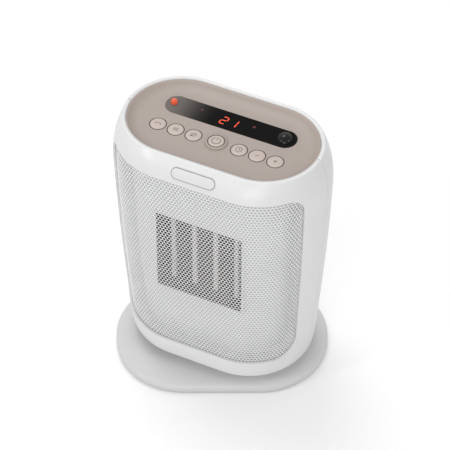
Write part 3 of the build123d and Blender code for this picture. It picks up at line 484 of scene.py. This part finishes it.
side_draws, front_draws, rear_draws = head_shares[:, 1:].T
foot_steps = np.array(
    [
        (1.5, 1.5),
        (3.5, 0.3),
        (6.3, 0.0),
        (9.0, 0.8),
        (11.3, 3.0),
        (13.1, 6.8),
        (14.8, 12.8),
        (16.4, 21.0),
        (17.7, 30.5),
        (18.6, 40.0),
    ]
)
foot_half_width = 102.0
foot_half_depth = 71.0
foot_corner = 66.0
skin_tolerance = 0.15


def draw_and_slope(height, heights, draws):
    """How far a skin is drawn in at a height, and how fast that grows."""
    slopes = np.diff(draws) / np.diff(heights)
    at_rows = np.concatenate([slopes[:1], (slopes[1:] + slopes[:-1]) / 2, slopes[-1:]])
    return np.interp(height, heights, draws), np.interp(height, heights, at_rows)


def facing(x, y, up):
    """Unit normals from their two level parts and their rise."""
    normals = np.stack([x, y, up], axis=-1)
    return normals / np.linalg.norm(normals, axis=-1, keepdims=True)


def on_head(along, height, depth):
    """Places on the front of the head: along it from the middle, up it, and below its surface."""
    side = np.interp(height, draw_heights, side_draws)
    front = np.interp(height, draw_heights, front_draws)
    radius = head_front - front
    straight = head_half_width - side - radius
    bend = np.maximum(0, np.abs(along) - straight) / radius * np.sign(along)
    flat = np.clip(along, -straight, straight)
    x = flat + (radius - depth) * np.sin(bend)
    y = seam_y - (radius - depth) * np.cos(bend)
    return np.stack([x, y, height], axis=-1)


def turned_with_head(points_mm):
    """Millimetres in the head's own frame to metres in the shared frame."""
    turn = np.array(rest_turn.to_3x3())
    return (points_mm @ turn.T) * mm


def head_faces(places):
    """Which way the casing faces at these places, and whether they are on its skin."""
    turn = np.array(rest_turn.to_3x3())
    x, y, z = (places @ turn).T
    side, side_slope = draw_and_slope(z, draw_heights, side_draws)
    front, front_slope = draw_and_slope(z, draw_heights, front_draws)
    rear, rear_slope = draw_and_slope(z, draw_heights, rear_draws)
    in_front = y < seam_y
    radius = np.where(in_front, head_front - front, head_rear - rear)
    straight = head_half_width - side - radius
    from_middle = np.stack([x - np.clip(x, -straight, straight), y - seam_y], axis=-1)
    reach = np.linalg.norm(from_middle, axis=-1)
    across = from_middle / np.maximum(reach, 1e-6)[:, None]
    sideways = np.abs(across[:, 0])
    up = side_slope * sideways + np.where(in_front, front_slope, rear_slope) * (1 - sideways)
    normals = facing(across[:, 0], across[:, 1], up) @ turn.T
    return normals, np.abs(radius - reach) < skin_tolerance


def foot_faces(places):
    """Which way the foot faces at these places, and whether they are on its skin."""
    x, y, z = places.T
    draw, slope = draw_and_slope(z, foot_steps[:, 0], foot_steps[:, 1])
    middle_x = foot_half_width - foot_corner
    middle_y = foot_half_depth - foot_corner
    from_middle = np.stack(
        [x - np.clip(x, -middle_x, middle_x), y - np.clip(y, -middle_y, middle_y)], axis=-1
    )
    reach = np.linalg.norm(from_middle, axis=-1)
    across = from_middle / np.maximum(reach, 1e-6)[:, None]
    on_skin = np.abs(foot_corner - draw - reach) < skin_tolerance
    return facing(across[:, 0], across[:, 1], slope), on_skin


skin_rules = {"front_shell": head_faces, "rear_shell": head_faces, "base_cover": foot_faces}
print("the head is widest at z", draw_heights[side_draws.argmin()])

# %% [markdown]
# ## Smooth skins for the parts that show
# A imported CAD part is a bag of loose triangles, so a curved wall shows its facets. A copy whose doubled
# corners are merged can be shaded smooth wherever two faces meet at a shallow angle, and stays crisp
# at real edges. The copy then stands for the CAD part, which keeps its place in the physics.


# %% Smooth skins
def body_of_node(node):
    bodies = frame["record"]["behaviour"]["bodies"]
    return next(body for body, nodes in bodies.items() if node in nodes)


def add_piece(name, mesh, material, body):
    """Puts a finished mesh in the scene, riding on a body."""
    piece = bpy.data.objects.new(name, mesh)
    bpy.context.collection.objects.link(piece)
    mesh.materials.clear()
    mesh.materials.append(material)
    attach(piece, body)
    return piece


def flats_of(mesh, least_area=1.5e-4):
    """Marks the faces that lie in one large plane together."""
    areas = {}
    planes = []
    for face in mesh.polygons:
        distance = face.normal.dot(face.center)
        plane = (*(round(v, 3) for v in face.normal), round(distance, 5))
        planes.append(plane)
        areas[plane] = areas.get(plane, 0.0) + face.area
    return np.array([areas[plane] > least_area for plane in planes])


least_agreement = math.cos(math.radians(14))


def steady_normals(mesh, rule):
    """Gives corners the normal of their large flat, or the one that a rule for the skin gives."""
    corner_face = np.repeat(np.arange(len(mesh.polygons)), [len(face.vertices) for face in mesh.polygons])
    corner_vertex = np.array([v for face in mesh.polygons for v in face.vertices])
    face_normals = np.array([face.normal for face in mesh.polygons])[corner_face]
    normals = np.array([corner.vector for corner in mesh.corner_normals])
    if rule is None:
        chosen = flats_of(mesh)[corner_face]
        better = face_normals
    else:
        places = np.array([vert.co for vert in mesh.vertices])[corner_vertex] / mm
        better, on_skin = rule(places)
        chosen = on_skin & ((better * face_normals).sum(axis=1) > least_agreement)
    normals[chosen] = better[chosen]
    mesh.normals_split_custom_set(normals.tolist())


def smooth_skin(node, crease_degrees=32.0):
    source = frame["nodes"][node].data
    shape = bmesh.new()
    shape.from_mesh(source)
    bmesh.ops.remove_doubles(shape, verts=shape.verts, dist=merge_distance)
    mesh = bpy.data.meshes.new(node + "_skin")
    shape.to_mesh(mesh)
    shape.free()
    mesh.shade_smooth()
    mesh.set_sharp_from_angle(angle=math.radians(crease_degrees))
    steady_normals(mesh, skin_rules.get(node))
    piece = add_piece(node + "_skin", mesh, source.materials[0], body_of_node(node))
    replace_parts(piece, node)


skinned = ["front_shell", "rear_shell", "base_cover", "base_plate", "rubber_feet", "top_panel"]
skinned += ["display_window", "lamp_lens", "receiver_lens", "cord_gland", "intake_grille", "head_deck"]
skinned += ["outlet_housing", "impeller", "fan_shroud", "fan_motor"]
for node in skinned:
    smooth_skin(node)
print(len(skinned), "parts have smooth skins")

# %% [markdown]
# ## The punched front sheet
# The sheet has over four thousand holes in staggered rows. Cutting them one by one would take hours,
# and a picture of holes would look flat from the side. Geometry Nodes copy one small cell over a grid
# instead. The cell is a six-sided frame round its hole, so neighbours share their edges exactly, and
# merging close corners makes one clean sheet.

# %% One cell of the punched sheet
sheet_pitch = 3.45
sheet_hole = 2.9
sheet_thickness = 0.3


def ring_of_corners(radius, z):
    angles = [math.radians(30 + 60 * corner) for corner in range(6)]
    return [(radius * math.cos(a), radius * math.sin(a), z) for a in angles]


def sheet_cell():
    """A hexagonal frame with a hexagonal hole, open at its outer sides."""
    outer = sheet_pitch / math.sqrt(3) * mm
    inner = sheet_hole / math.sqrt(3) * mm
    half = sheet_thickness / 2 * mm
    corners = []
    for z in (half, -half):
        corners += ring_of_corners(outer, z) + ring_of_corners(inner, z)
    faces = []
    for a in range(6):
        b = (a + 1) % 6
        faces.append((a, b, b + 6, a + 6))
        faces.append((b + 12, a + 12, a + 18, b + 18))
        faces.append((a + 6, b + 6, b + 18, a + 18))
    mesh = bpy.data.meshes.new("sheet_cell")
    mesh.from_pydata(corners, [], faces)
    return bpy.data.objects.new("sheet_cell", mesh)


cell = sheet_cell()
print("one cell has", len(cell.data.polygons), "faces")

# %% [markdown]
# The tree below lays the cell on a grid whose every other row is shifted by half a pitch. Its sizes are
# named inputs, and it ends by making the copies real, because an export drops instances.


# %% The tree that lays the cells
class Growth:
    """A Geometry Nodes tree in the making."""

    def __init__(self, name, inputs):
        self.group = bpy.data.node_groups.new(name, "GeometryNodeTree")
        for label, kind in inputs.items():
            self.group.interface.new_socket(label, in_out="INPUT", socket_type=kind)
        self.group.interface.new_socket("Geometry", in_out="OUTPUT", socket_type="NodeSocketGeometry")
        self.start = self.group.nodes.new("NodeGroupInput")

    def given(self, label):
        return self.start.outputs[label]

    def node(self, kind, settings=None, sockets=None, out=0):
        made = self.group.nodes.new(kind)
        for name, value in (settings or {}).items():
            setattr(made, name, value)
        for name, value in (sockets or {}).items():
            if isinstance(value, bpy.types.NodeSocket):
                self.group.links.new(value, made.inputs[name])
            else:
                made.inputs[name].default_value = value
        return made.outputs[out]

    def maths(self, operation, first, second):
        return self.node("ShaderNodeMath", {"operation": operation}, {0: first, 1: second})

    def finish(self, geometry, material):
        real = self.node("GeometryNodeRealizeInstances", {}, {0: geometry})
        merged = self.node("GeometryNodeMergeByDistance", {}, {0: real, "Distance": merge_distance})
        dressed = self.node("GeometryNodeSetMaterial", {}, {0: merged, "Material": material})
        end = self.group.nodes.new("NodeGroupOutput")
        self.group.links.new(dressed, end.inputs[0])
        return self.group


def grown_mesh(group, values, name):
    """Runs a tree with these input values and returns what it made as a plain mesh."""
    carrier = bpy.data.objects.new(name + "_carrier", bpy.data.meshes.new(name + "_carrier"))
    bpy.context.collection.objects.link(carrier)
    modifier = carrier.modifiers.new("growth", "NODES")
    modifier.node_group = group
    for item in group.interface.items_tree:
        if item.in_out == "INPUT" and item.name in values:
            modifier[item.identifier] = values[item.name]
    graph = bpy.context.evaluated_depsgraph_get()
    mesh = bpy.data.meshes.new_from_object(carrier.evaluated_get(graph))
    mesh.name = name
    bpy.data.objects.remove(carrier)
    return mesh


def staggered_grid():
    tree = Growth(
        "staggered_grid",
        {
            "Pitch": "NodeSocketFloat",
            "Columns": "NodeSocketInt",
            "Rows": "NodeSocketInt",
            "Cell": "NodeSocketObject",
            "Finish": "NodeSocketMaterial",
        },
    )
    row_pitch = tree.maths("MULTIPLY", tree.given("Pitch"), math.sqrt(0.75))
    width = tree.maths("MULTIPLY", tree.given("Pitch"), tree.maths("SUBTRACT", tree.given("Columns"), 1.0))
    height = tree.maths("MULTIPLY", row_pitch, tree.maths("SUBTRACT", tree.given("Rows"), 1.0))
    grid = tree.node(
        "GeometryNodeMeshGrid",
        {},
        {
            "Size X": width,
            "Size Y": height,
            "Vertices X": tree.given("Columns"),
            "Vertices Y": tree.given("Rows"),
        },
    )
    index = tree.node("GeometryNodeInputIndex")
    row = tree.maths("MODULO", index, tree.given("Rows"))
    odd = tree.maths("MODULO", row, 2.0)
    half_pitch = tree.maths("MULTIPLY", tree.given("Pitch"), 0.5)
    shift = tree.maths("MULTIPLY", tree.maths("SUBTRACT", odd, 0.5), half_pitch)
    offset = tree.node("ShaderNodeCombineXYZ", {}, {"X": shift})
    staggered = tree.node("GeometryNodeSetPosition", {}, {0: grid, "Offset": offset})
    cell_shape = tree.node("GeometryNodeObjectInfo", {}, {0: tree.given("Cell")}, out="Geometry")
    placed = tree.node("GeometryNodeInstanceOnPoints", {}, {"Points": staggered, "Instance": cell_shape})
    return tree.finish(placed, tree.given("Finish"))


sheet_columns = 63
sheet_rows = 72
flat_sheet = grown_mesh(
    staggered_grid(),
    {
        "Pitch": sheet_pitch * mm,
        "Columns": sheet_columns,
        "Rows": sheet_rows,
        "Cell": cell,
        "Finish": grille_white_and_sheen,
    },
    "punched_sheet",
)
print("flat sheet:", len(flat_sheet.vertices), "corners,", len(flat_sheet.polygons), "faces")

# %% [markdown]
# On the real heater the flat sheet is then bowed to the casing and clipped in behind its window. A Curve
# modifier could bend it, but the head's table of sizes already says where its front lies at each height,
# so each corner is moved there, a little under the surface. The rim is closed first.

# %% Bend the sheet
sheet_depth = 2.6
sheet_bottom = 41.5


def close_rim(shape):
    """Walls round the outside of a thick sheet, between its two open rims."""
    below = {}
    for vert in shape.verts:
        if vert.co.z < 0:
            below[(round(vert.co.x * 1e6), round(vert.co.y * 1e6))] = vert
    rim = [edge for edge in shape.edges if edge.is_boundary and edge.verts[0].co.z > 0]
    for edge in rim:
        a, b = edge.verts
        loop = edge.link_loops[0]
        if loop.vert is not a:
            a, b = b, a
        under = [below[(round(v.co.x * 1e6), round(v.co.y * 1e6))] for v in (b, a)]
        shape.faces.new((b, a, under[1], under[0]))


def bend_sheet(flat):
    shape = bmesh.new()
    shape.from_mesh(flat)
    close_rim(shape)
    places = np.array([vert.co for vert in shape.verts]) / mm
    height = places[:, 1] - places[:, 1].min() + sheet_bottom
    depth = sheet_depth + sheet_thickness / 2 - places[:, 2]
    bent = turned_with_head(on_head(places[:, 0], height, depth))
    for vert, place in zip(shape.verts, bent):
        vert.co = place
    shape.to_mesh(flat)
    shape.free()
    flat.update()
    return flat


sheet = add_piece("punched_front_sheet", bend_sheet(flat_sheet), grille_white_and_sheen, "head")
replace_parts(sheet, "front_grille")
sheet_triangles = sum(len(face.vertices) - 2 for face in sheet.data.polygons)
print("punched sheet:", sheet_triangles, "triangles")

# %% [markdown]
# ## Turned keys, painted shade in their gaps, and the collar
# A key is small, but its rounded edge and its slightly crowned top catch the light, and that is what
# makes it read as a key. Each is turned like a pot: a profile goes round its axis. The CAD key has a
# plain bevel there, so the turned one takes its place. A dark ring of painted shade fills the gap round
# every key.


# %% Turning a profile
def lofted(rings, closed=False):
    """A skin through rings of points. A ring of one point closes an end."""
    shape = bmesh.new()
    rows = [[shape.verts.new(point) for point in ring] for ring in rings]
    pairs = list(zip(rows, rows[1:]))
    if closed:
        pairs.append((rows[-1], rows[0]))
    for low, high in pairs:
        count = max(len(low), len(high))
        for i in range(count):
            j = (i + 1) % count
            corners = [low[i % len(low)], low[j % len(low)], high[j % len(high)], high[i % len(high)]]
            shape.faces.new(list(dict.fromkeys(corners)))
    if not closed:
        for row in (rows[0], rows[-1]):
            if len(row) > 1:
                shape.faces.new(row)
    bmesh.ops.recalc_face_normals(shape, faces=shape.faces)
    return shape


def finished_piece(shape, name, material, body, crease_degrees=40.0):
    """Turns a shape in the head's own frame with the head and puts it in the scene."""
    for vert in shape.verts:
        vert.co = Vector(turned_with_head(np.array(vert.co)))
    mesh = bpy.data.meshes.new(name)
    shape.to_mesh(mesh)
    shape.free()
    mesh.shade_smooth()
    mesh.set_sharp_from_angle(angle=math.radians(crease_degrees))
    return add_piece(name, mesh, material, body)


def turned_rings(profile, x, y, segments=64):
    """Rings round an upright axis, one for each radius and height."""
    rings = []
    for radius, z in profile:
        if radius == 0:
            rings.append([(x, y, z)])
            continue
        angles = [2 * math.pi * step / segments for step in range(segments)]
        rings.append([(x + radius * math.cos(a), y + radius * math.sin(a), z) for a in angles])
    return rings


print("profiles can be turned")

# %% [markdown]
# The profiles below run from the crown of a key down to its stem. The key's flange sits under the panel,
# as on the real one, so it can't be pulled out. The heights come from the CAD key, so that the turned
# one sits and sinks as it does.

# %% Keys, seals and collar
key_radius = 7.3
key_gap = 0.8
key_flange = 1.3
flange_clearance = 0.2
flange_thickness = 1.0
stem_radius = 2.0
panel_skin = 2.2
collar_width = 2.6
collar_height = 2.0
key_x = dict(zip(keys, (-57.8, -40.1, -22.4, 0.0, 22.4, 40.1, 57.8)))


def key_profile(top, bottom):
    """From the crown down over the rounded edge, the flange under the panel and the stem."""
    crown = [(0, top), (2.4, top - 0.01), (4.6, top - 0.05), (6.2, top - 0.12)]
    edge = [(6.75, top - 0.20), (7.08, top - 0.36), (7.24, top - 0.58), (key_radius, top - 0.85)]
    high = panel_floor - panel_skin - flange_clearance
    low = high - flange_thickness
    wide = key_radius + key_flange
    flange = [(key_radius, high), (wide, high), (wide, low), (stem_radius, low)]
    return crown + edge + flange + [(stem_radius, bottom), (0, bottom)]


def gap_shade_profile(level):
    """A ring in the gap, level with the panel, dark as painted shade."""
    inner = key_radius + 0.08
    hole = key_radius + key_gap
    return [
        (inner, level - 1.2),
        (inner, level - 0.06),
        (inner + 0.1, level),
        (hole - 0.15, level),
        (hole - 0.05, level - 0.06),
        (hole - 0.05, level - 1.2),
    ]


for key, x in key_x.items():
    bottom, top = (corner[2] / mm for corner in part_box(key))
    turned_key = lofted(turned_rings(key_profile(top, bottom), x, key_row_y))
    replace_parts(finished_piece(turned_key, key + "_turned", key_beige, key), key)
    level = panel_floor + (collar_height if key == "power_button" else 0)
    # A dark ring of painted shade fills the gap round each key.
    shade_ring = lofted(turned_rings(gap_shade_profile(level), x, key_row_y), closed=True)
    finished_piece(shade_ring, key + "_seal", gap_shade_dark, "head")

collar_inner = key_radius + key_gap
collar_outer = collar_inner + collar_width
collar_top = panel_floor + collar_height
collar_profile = [
    (collar_inner, panel_floor),
    (collar_inner, collar_top),
    (collar_inner + 0.9, collar_top),
    (collar_inner + 1.5, collar_top - 0.22),
    (collar_inner + 2.0, collar_top - 0.70),
    (collar_inner + 2.35, collar_top - 1.30),
    (collar_outer, panel_floor),
]
collar = lofted(turned_rings(collar_profile, 0.0, key_row_y), closed=True)
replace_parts(finished_piece(collar, "turned_collar", panel_taupe, "head"), "power_collar")
print(len(key_x), "keys turned, with a seal each")

# %% [markdown]
# ## The blank plate
# An oval plate lies on the sloping shoulder, left blank. A thin grey rim frames its face. Both are
# skins through stadium outlines, stacked along the plate's own slope.

# %% The blank plate
plate_set_back = 6.0
plate_height = 265.54
plate_place = np.array([0.0, seam_y - head_front + plate_set_back, plate_height])
plate_slope = math.radians(31.6)
plate_up = np.array([0.0, -math.cos(plate_slope), math.sin(plate_slope)])
plate_across = np.array([0.0, math.sin(plate_slope), math.cos(plate_slope)])


def plate_ring(half_length, half_width, height, steps=16):
    """A stadium outline on the plate's plane, raised by a height."""
    angles = np.linspace(-math.pi / 2, math.pi / 2, steps)
    ends = half_length - half_width
    right = [(ends + half_width * math.cos(a), half_width * math.sin(a)) for a in angles]
    left = [(-u, -v) for u, v in right]
    along = np.array([1.0, 0.0, 0.0])
    return [plate_place + along * u + plate_across * v + plate_up * height for u, v in right + left]


face_rows = [(20.75, 4.75, -0.9), (20.75, 4.75, 0.22), (20.6, 4.6, 0.38), (20.2, 4.2, 0.44)]
plate_face = lofted([plate_ring(*row) for row in face_rows])
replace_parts(finished_piece(plate_face, "plate_face", badge_white, "head"), "badge_plate")
rim_rows = [(21.5, 5.5, -0.9), (21.5, 5.5, 0.10), (21.35, 5.35, 0.22), (20.95, 4.95, 0.22)]
rim_rows += [(20.8, 4.8, 0.10), (20.8, 4.8, -0.9)]
plate_rim = lofted([plate_ring(*row) for row in rim_rows], closed=True)
finished_piece(plate_rim, "plate_rim", badge_line, "head")
print("blank plate laid at", plate_place.round(1))

# %% [markdown]
# ## Digits, marks and key symbols
# The digits are seven-segment bars, and the keys carry small printed signs. Each is a flat band with a
# little thickness. A band along a line of points makes all of them, which is simpler than text and
# needs no font. The digits lie just on the window, because a smoky gloss skin over them would hide them.


# %% A flat band along points
def band(shape, points, width, z, thickness, closed=False):
    """A flat strip along points in the plane, added to a mesh being built."""
    path = np.array(points, float)
    count = len(path)
    before = np.roll(path, 1, axis=0)
    after = np.roll(path, -1, axis=0)
    if not closed:
        before[0] = path[0]
        after[-1] = path[-1]
    way_in = path - before
    way_out = after - path
    if not closed:
        way_in[0] = way_out[0]
        way_out[-1] = way_in[-1]
    way_in /= np.linalg.norm(way_in, axis=1)[:, None]
    way_out /= np.linalg.norm(way_out, axis=1)[:, None]
    mean = way_in + way_out
    mean /= np.linalg.norm(mean, axis=1)[:, None]
    side = np.stack([-mean[:, 1], mean[:, 0]], axis=1)
    stretch = np.clip(1 / np.maximum(0.4, (mean * way_in).sum(axis=1)), 1, 2)
    rows = []
    for level in (z + thickness, z):
        for sign in (1, -1):
            edge = path + side * (sign * width / 2 * stretch)[:, None]
            rows.append([shape.verts.new((x, y, level)) for x, y in edge])
    top_left, top_right, low_left, low_right = rows
    last = count if closed else count - 1
    for i in range(last):
        j = (i + 1) % count
        shape.faces.new((top_right[i], top_right[j], top_left[j], top_left[i]))
        shape.faces.new((low_left[i], low_left[j], low_right[j], low_right[i]))
        shape.faces.new((top_left[i], top_left[j], low_left[j], low_left[i]))
        shape.faces.new((low_right[i], low_right[j], top_right[j], top_right[i]))
    if not closed:
        shape.faces.new((top_left[0], low_left[0], low_right[0], top_right[0]))
        shape.faces.new((top_right[-1], low_right[-1], low_left[-1], top_left[-1]))


def flat_piece(name, bands, material, body, z, thickness=0.06):
    """Bands in the head's own frame, made one mesh and turned with the head."""
    shape = bmesh.new()
    for points, width, closed in bands:
        band(shape, points, width, z, thickness, closed)
    for vert in shape.verts:
        vert.co = Vector(turned_with_head(np.array(vert.co)))
    bmesh.ops.recalc_face_normals(shape, faces=shape.faces)
    mesh = bpy.data.meshes.new(name)
    shape.to_mesh(mesh)
    shape.free()
    return add_piece(name, mesh, material, body)


def circle(x, y, radius, start=0, end=360, steps=28):
    """Points on a circle, or on part of one."""
    full = abs(end - start) >= 360
    angles = np.radians(np.linspace(start, end, steps + 1))
    points = [(x + radius * math.cos(a), y + radius * math.sin(a)) for a in angles]
    return points[:-1] if full else points


print("bands are ready")

# %% [markdown]
# The display shows a number, slanted as such digits are. Only the six bars that a 2 and a 1 need are
# listed, in shares of a digit's width and height. Two small dim marks stand beside the number.

# %% Digits on the display
digit_height = 9.0
digit_width = 5.6
digit_slant = 0.12
segment_width = 1.05
segments = {
    "top": ((0.12, 1.0), (0.88, 1.0)),
    "upper_right": ((1.0, 0.96), (1.0, 0.535)),
    "lower_right": ((1.0, 0.465), (1.0, 0.04)),
    "bottom": ((0.12, 0.0), (0.88, 0.0)),
    "lower_left": ((0.0, 0.465), (0.0, 0.04)),
    "middle": ((0.12, 0.5), (0.88, 0.5)),
}
two = ["top", "upper_right", "middle", "lower_left", "bottom"]
one = ["upper_right", "lower_right"]


def digit(names, x, y):
    bands = []
    for name in names:
        points = []
        for u, v in segments[name]:
            height = (v - 0.5) * digit_height
            points.append((x + (u - 0.5) * digit_width + height * digit_slant, y + height))
        bands.append((points, segment_width, False))
    return bands


window_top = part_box("display_window")[1][2] / mm
digit_level = window_top + 0.02
digit_row_y = 17.2
display_bands = digit(two, -6.2, digit_row_y) + digit(one, 3.6, digit_row_y)
flat_piece("display_digits", display_bands, digit_glow, "head", digit_level)
# Each mark's place along and across the head, its radius and its width of line
mark_rings = [(-30.0, 21.7, 0.9, 0.5), (22.0, 20.7, 1.0, 0.6)]
marks = [(circle(x, y, radius, steps=10), width, True) for x, y, radius, width in mark_rings]
flat_piece("display_marks", marks, mark_glow, "head", digit_level)
print("digits stand at", round(window_top, 2), "mm")

# %% [markdown]
# Each key has a simple sign: a swing arc, heat waves, a leaf, the standby sign, a clock, minus and plus.
# A sign rides on its own key, so it sinks with the key when that is pressed.

# %% Signs on the keys
stroke = 0.52
bold = stroke * 1.2
wave_height = 4.2
wave_swing = 0.45
wave_turn = 2.2
sign_lift = 0.005
sign_thickness = 0.03


def wave(x, y):
    climb = np.linspace(0, wave_height, 15)
    return [(x + wave_swing * math.sin(t * wave_turn), y + (t - wave_height / 2)) for t in climb]


def key_signs(x):
    y = key_row_y
    leaf = [(x - 2.2, y - 1.6), (x - 1.9, y + 0.6), (x - 0.2, y + 1.9), (x + 2.2, y + 2.0)]
    leaf += [(x + 2.1, y - 0.4), (x + 0.6, y - 1.9)]
    return {
        "swing_button": [
            (circle(x, y - 1.4, 2.9, 35, 145, 12), stroke, False),
            ([(x - 2.9, y - 0.6), (x - 2.4, y + 0.4), (x - 1.2, y + 0.3)], stroke, False),
            ([(x + 2.9, y - 0.6), (x + 2.4, y + 0.4), (x + 1.2, y + 0.3)], stroke, False),
        ],
        "mode_button": [(wave(x + shift, y), stroke, False) for shift in (-1.7, 0.0, 1.7)],
        "eco_button": [(leaf, stroke, True), ([(x - 2.8, y - 2.5), (x + 0.8, y + 0.8)], stroke, False)],
        "power_button": [
            (circle(x, y - 0.3, 3.9, 120, 420, 30), bold, False),
            ([(x, y + 0.6), (x, y + 4.6)], bold, False),
        ],
        "timer_button": [
            (circle(x, y, 2.9, steps=24), stroke, True),
            ([(x, y + 1.8), (x, y), (x + 1.4, y)], stroke, False),
        ],
        "minus_button": [([(x - 1.7, y), (x + 1.7, y)], bold, False)],
        "plus_button": [
            ([(x - 1.7, y), (x + 1.7, y)], bold, False),
            ([(x, y - 1.7), (x, y + 1.7)], bold, False),
        ],
    }


for key in keys:
    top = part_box(key)[1][2] / mm
    bands = key_signs(key_x[key])[key]
    flat_piece(key + "_sign", bands, print_brown, key, top + sign_lift, sign_thickness)
print(len(keys), "signs printed")

# %% [markdown]
# ## Floor, light and camera
# The picture has a white ground that still takes a soft shadow. The floor is a plain pale plane, and
# what the camera sees of it is lifted a little, so that it reads white where no shadow falls. More light
# would whiten it too, but it would also bleach the casing.


# %% Floor
def pale_ground(name, lift):
    recipe = Recipe(name, Roughness=0.9, Specular_IOR_Level=0.0)
    recipe.feed("Base Color", (0.86, 0.86, 0.86, 1))
    seen = recipe.node("ShaderNodeLightPath", out="Is Camera Ray")
    glow = recipe.node("ShaderNodeEmission", {}, {"Color": (1, 1, 1, 1), "Strength": lift})
    plain = Flow(recipe, recipe.shader.outputs[0])
    both = recipe.node("ShaderNodeAddShader", {}, {0: glow, 1: plain})
    chosen = recipe.node("ShaderNodeMixShader", {}, {0: seen, 1: plain, 2: both})
    output = recipe.tree.nodes["Material Output"]
    recipe.tree.links.new(chosen.socket, output.inputs["Surface"])
    return recipe.material


floor_reach = 6.0
floor_lift = 0.16
floor_mesh = bpy.data.meshes.new("floor")
corners = [(x * floor_reach, y * floor_reach, 0) for x, y in ((-1, -1), (1, -1), (1, 1), (-1, 1))]
floor_mesh.from_pydata(corners, [], [(0, 1, 2, 3)])
floor_mesh.materials.append(pale_ground("pale_ground", floor_lift))
floor = bpy.data.objects.new("floor", floor_mesh)
bpy.context.collection.objects.link(floor)
print("floor laid at z 0")

# %% [markdown]
# Broad lamps above and in front give even light, and a small one at each side puts a soft highlight on
# the round ends. They are weak, so that a colour renders about as it is written. The world is white to
# the eye and to gloss, and dimmer as a light.

# %% Lamps and world
lamp_aim = Vector((0, 0, 0.12))
ambient_strength = 0.66


def soft_lamp(name, place, size, watts):
    lamp = bpy.data.lights.new(name, "AREA")
    lamp.shape = "DISK"
    lamp.size = size
    lamp.energy = watts
    holder = bpy.data.objects.new(name, lamp)
    holder.location = place
    holder.rotation_euler = (lamp_aim - Vector(place)).to_track_quat("-Z", "Y").to_euler()
    bpy.context.collection.objects.link(holder)


soft_lamp("overhead", (-0.35, 0.8, 2.1), 1.2, 15.0)
soft_lamp("front_fill", (-0.5, -2.4, 0.9), 1.4, 15.0)
soft_lamp("left_side", (-1.7, -0.9, 1.3), 0.3, 5.0)
soft_lamp("right_side", (1.7, -0.9, 1.3), 0.3, 3.0)

world = bpy.data.worlds.new("studio")
bpy.context.scene.world = world
world.use_nodes = True
world_tree = world.node_tree
world_tree.nodes.clear()
chooser = world_tree.nodes.new("ShaderNodeMixShader")
for slot, strength in ((1, ambient_strength), (2, 1.0)):
    background = world_tree.nodes.new("ShaderNodeBackground")
    background.inputs["Color"].default_value = (1, 1, 1, 1)
    background.inputs["Strength"].default_value = strength
    world_tree.links.new(background.outputs[0], chooser.inputs[slot])
rays = world_tree.nodes.new("ShaderNodeLightPath")
seen = rays.outputs["Is Camera Ray"]
for ray in ("Is Glossy Ray", "Is Transmission Ray"):
    either = world_tree.nodes.new("ShaderNodeMath")
    either.operation = "MAXIMUM"
    world_tree.links.new(seen, either.inputs[0])
    world_tree.links.new(rays.outputs[ray], either.inputs[1])
    seen = either.outputs[0]
world_tree.links.new(seen, chooser.inputs[0])
world_output = world_tree.nodes.new("ShaderNodeOutputWorld")
world_tree.links.new(chooser.outputs[0], world_output.inputs[0])
bpy.context.scene.view_settings.view_transform = "Standard"
print("four lamps and a white world")

# %% [markdown]
# The camera looks down at a little under 45 degrees through a long lens, from over two metres away, so
# that upright edges stay nearly parallel, as in a catalogue picture.

# %% Camera
camera_place = (0.0, -1.5638, 1.7035)
camera_tilt = 45.3
lens_length = 190.4
camera_data = bpy.data.cameras.new("camera")
camera_data.lens = lens_length
camera_data.shift_x = 0.0067
camera_data.clip_end = 20.0
camera = bpy.data.objects.new("camera", camera_data)
camera.location = camera_place
camera.rotation_euler = (math.radians(camera_tilt), 0, 0)
bpy.context.collection.objects.link(camera)
bpy.context.scene.camera = camera
print("camera at", tuple(round(v, 3) for v in camera.location))
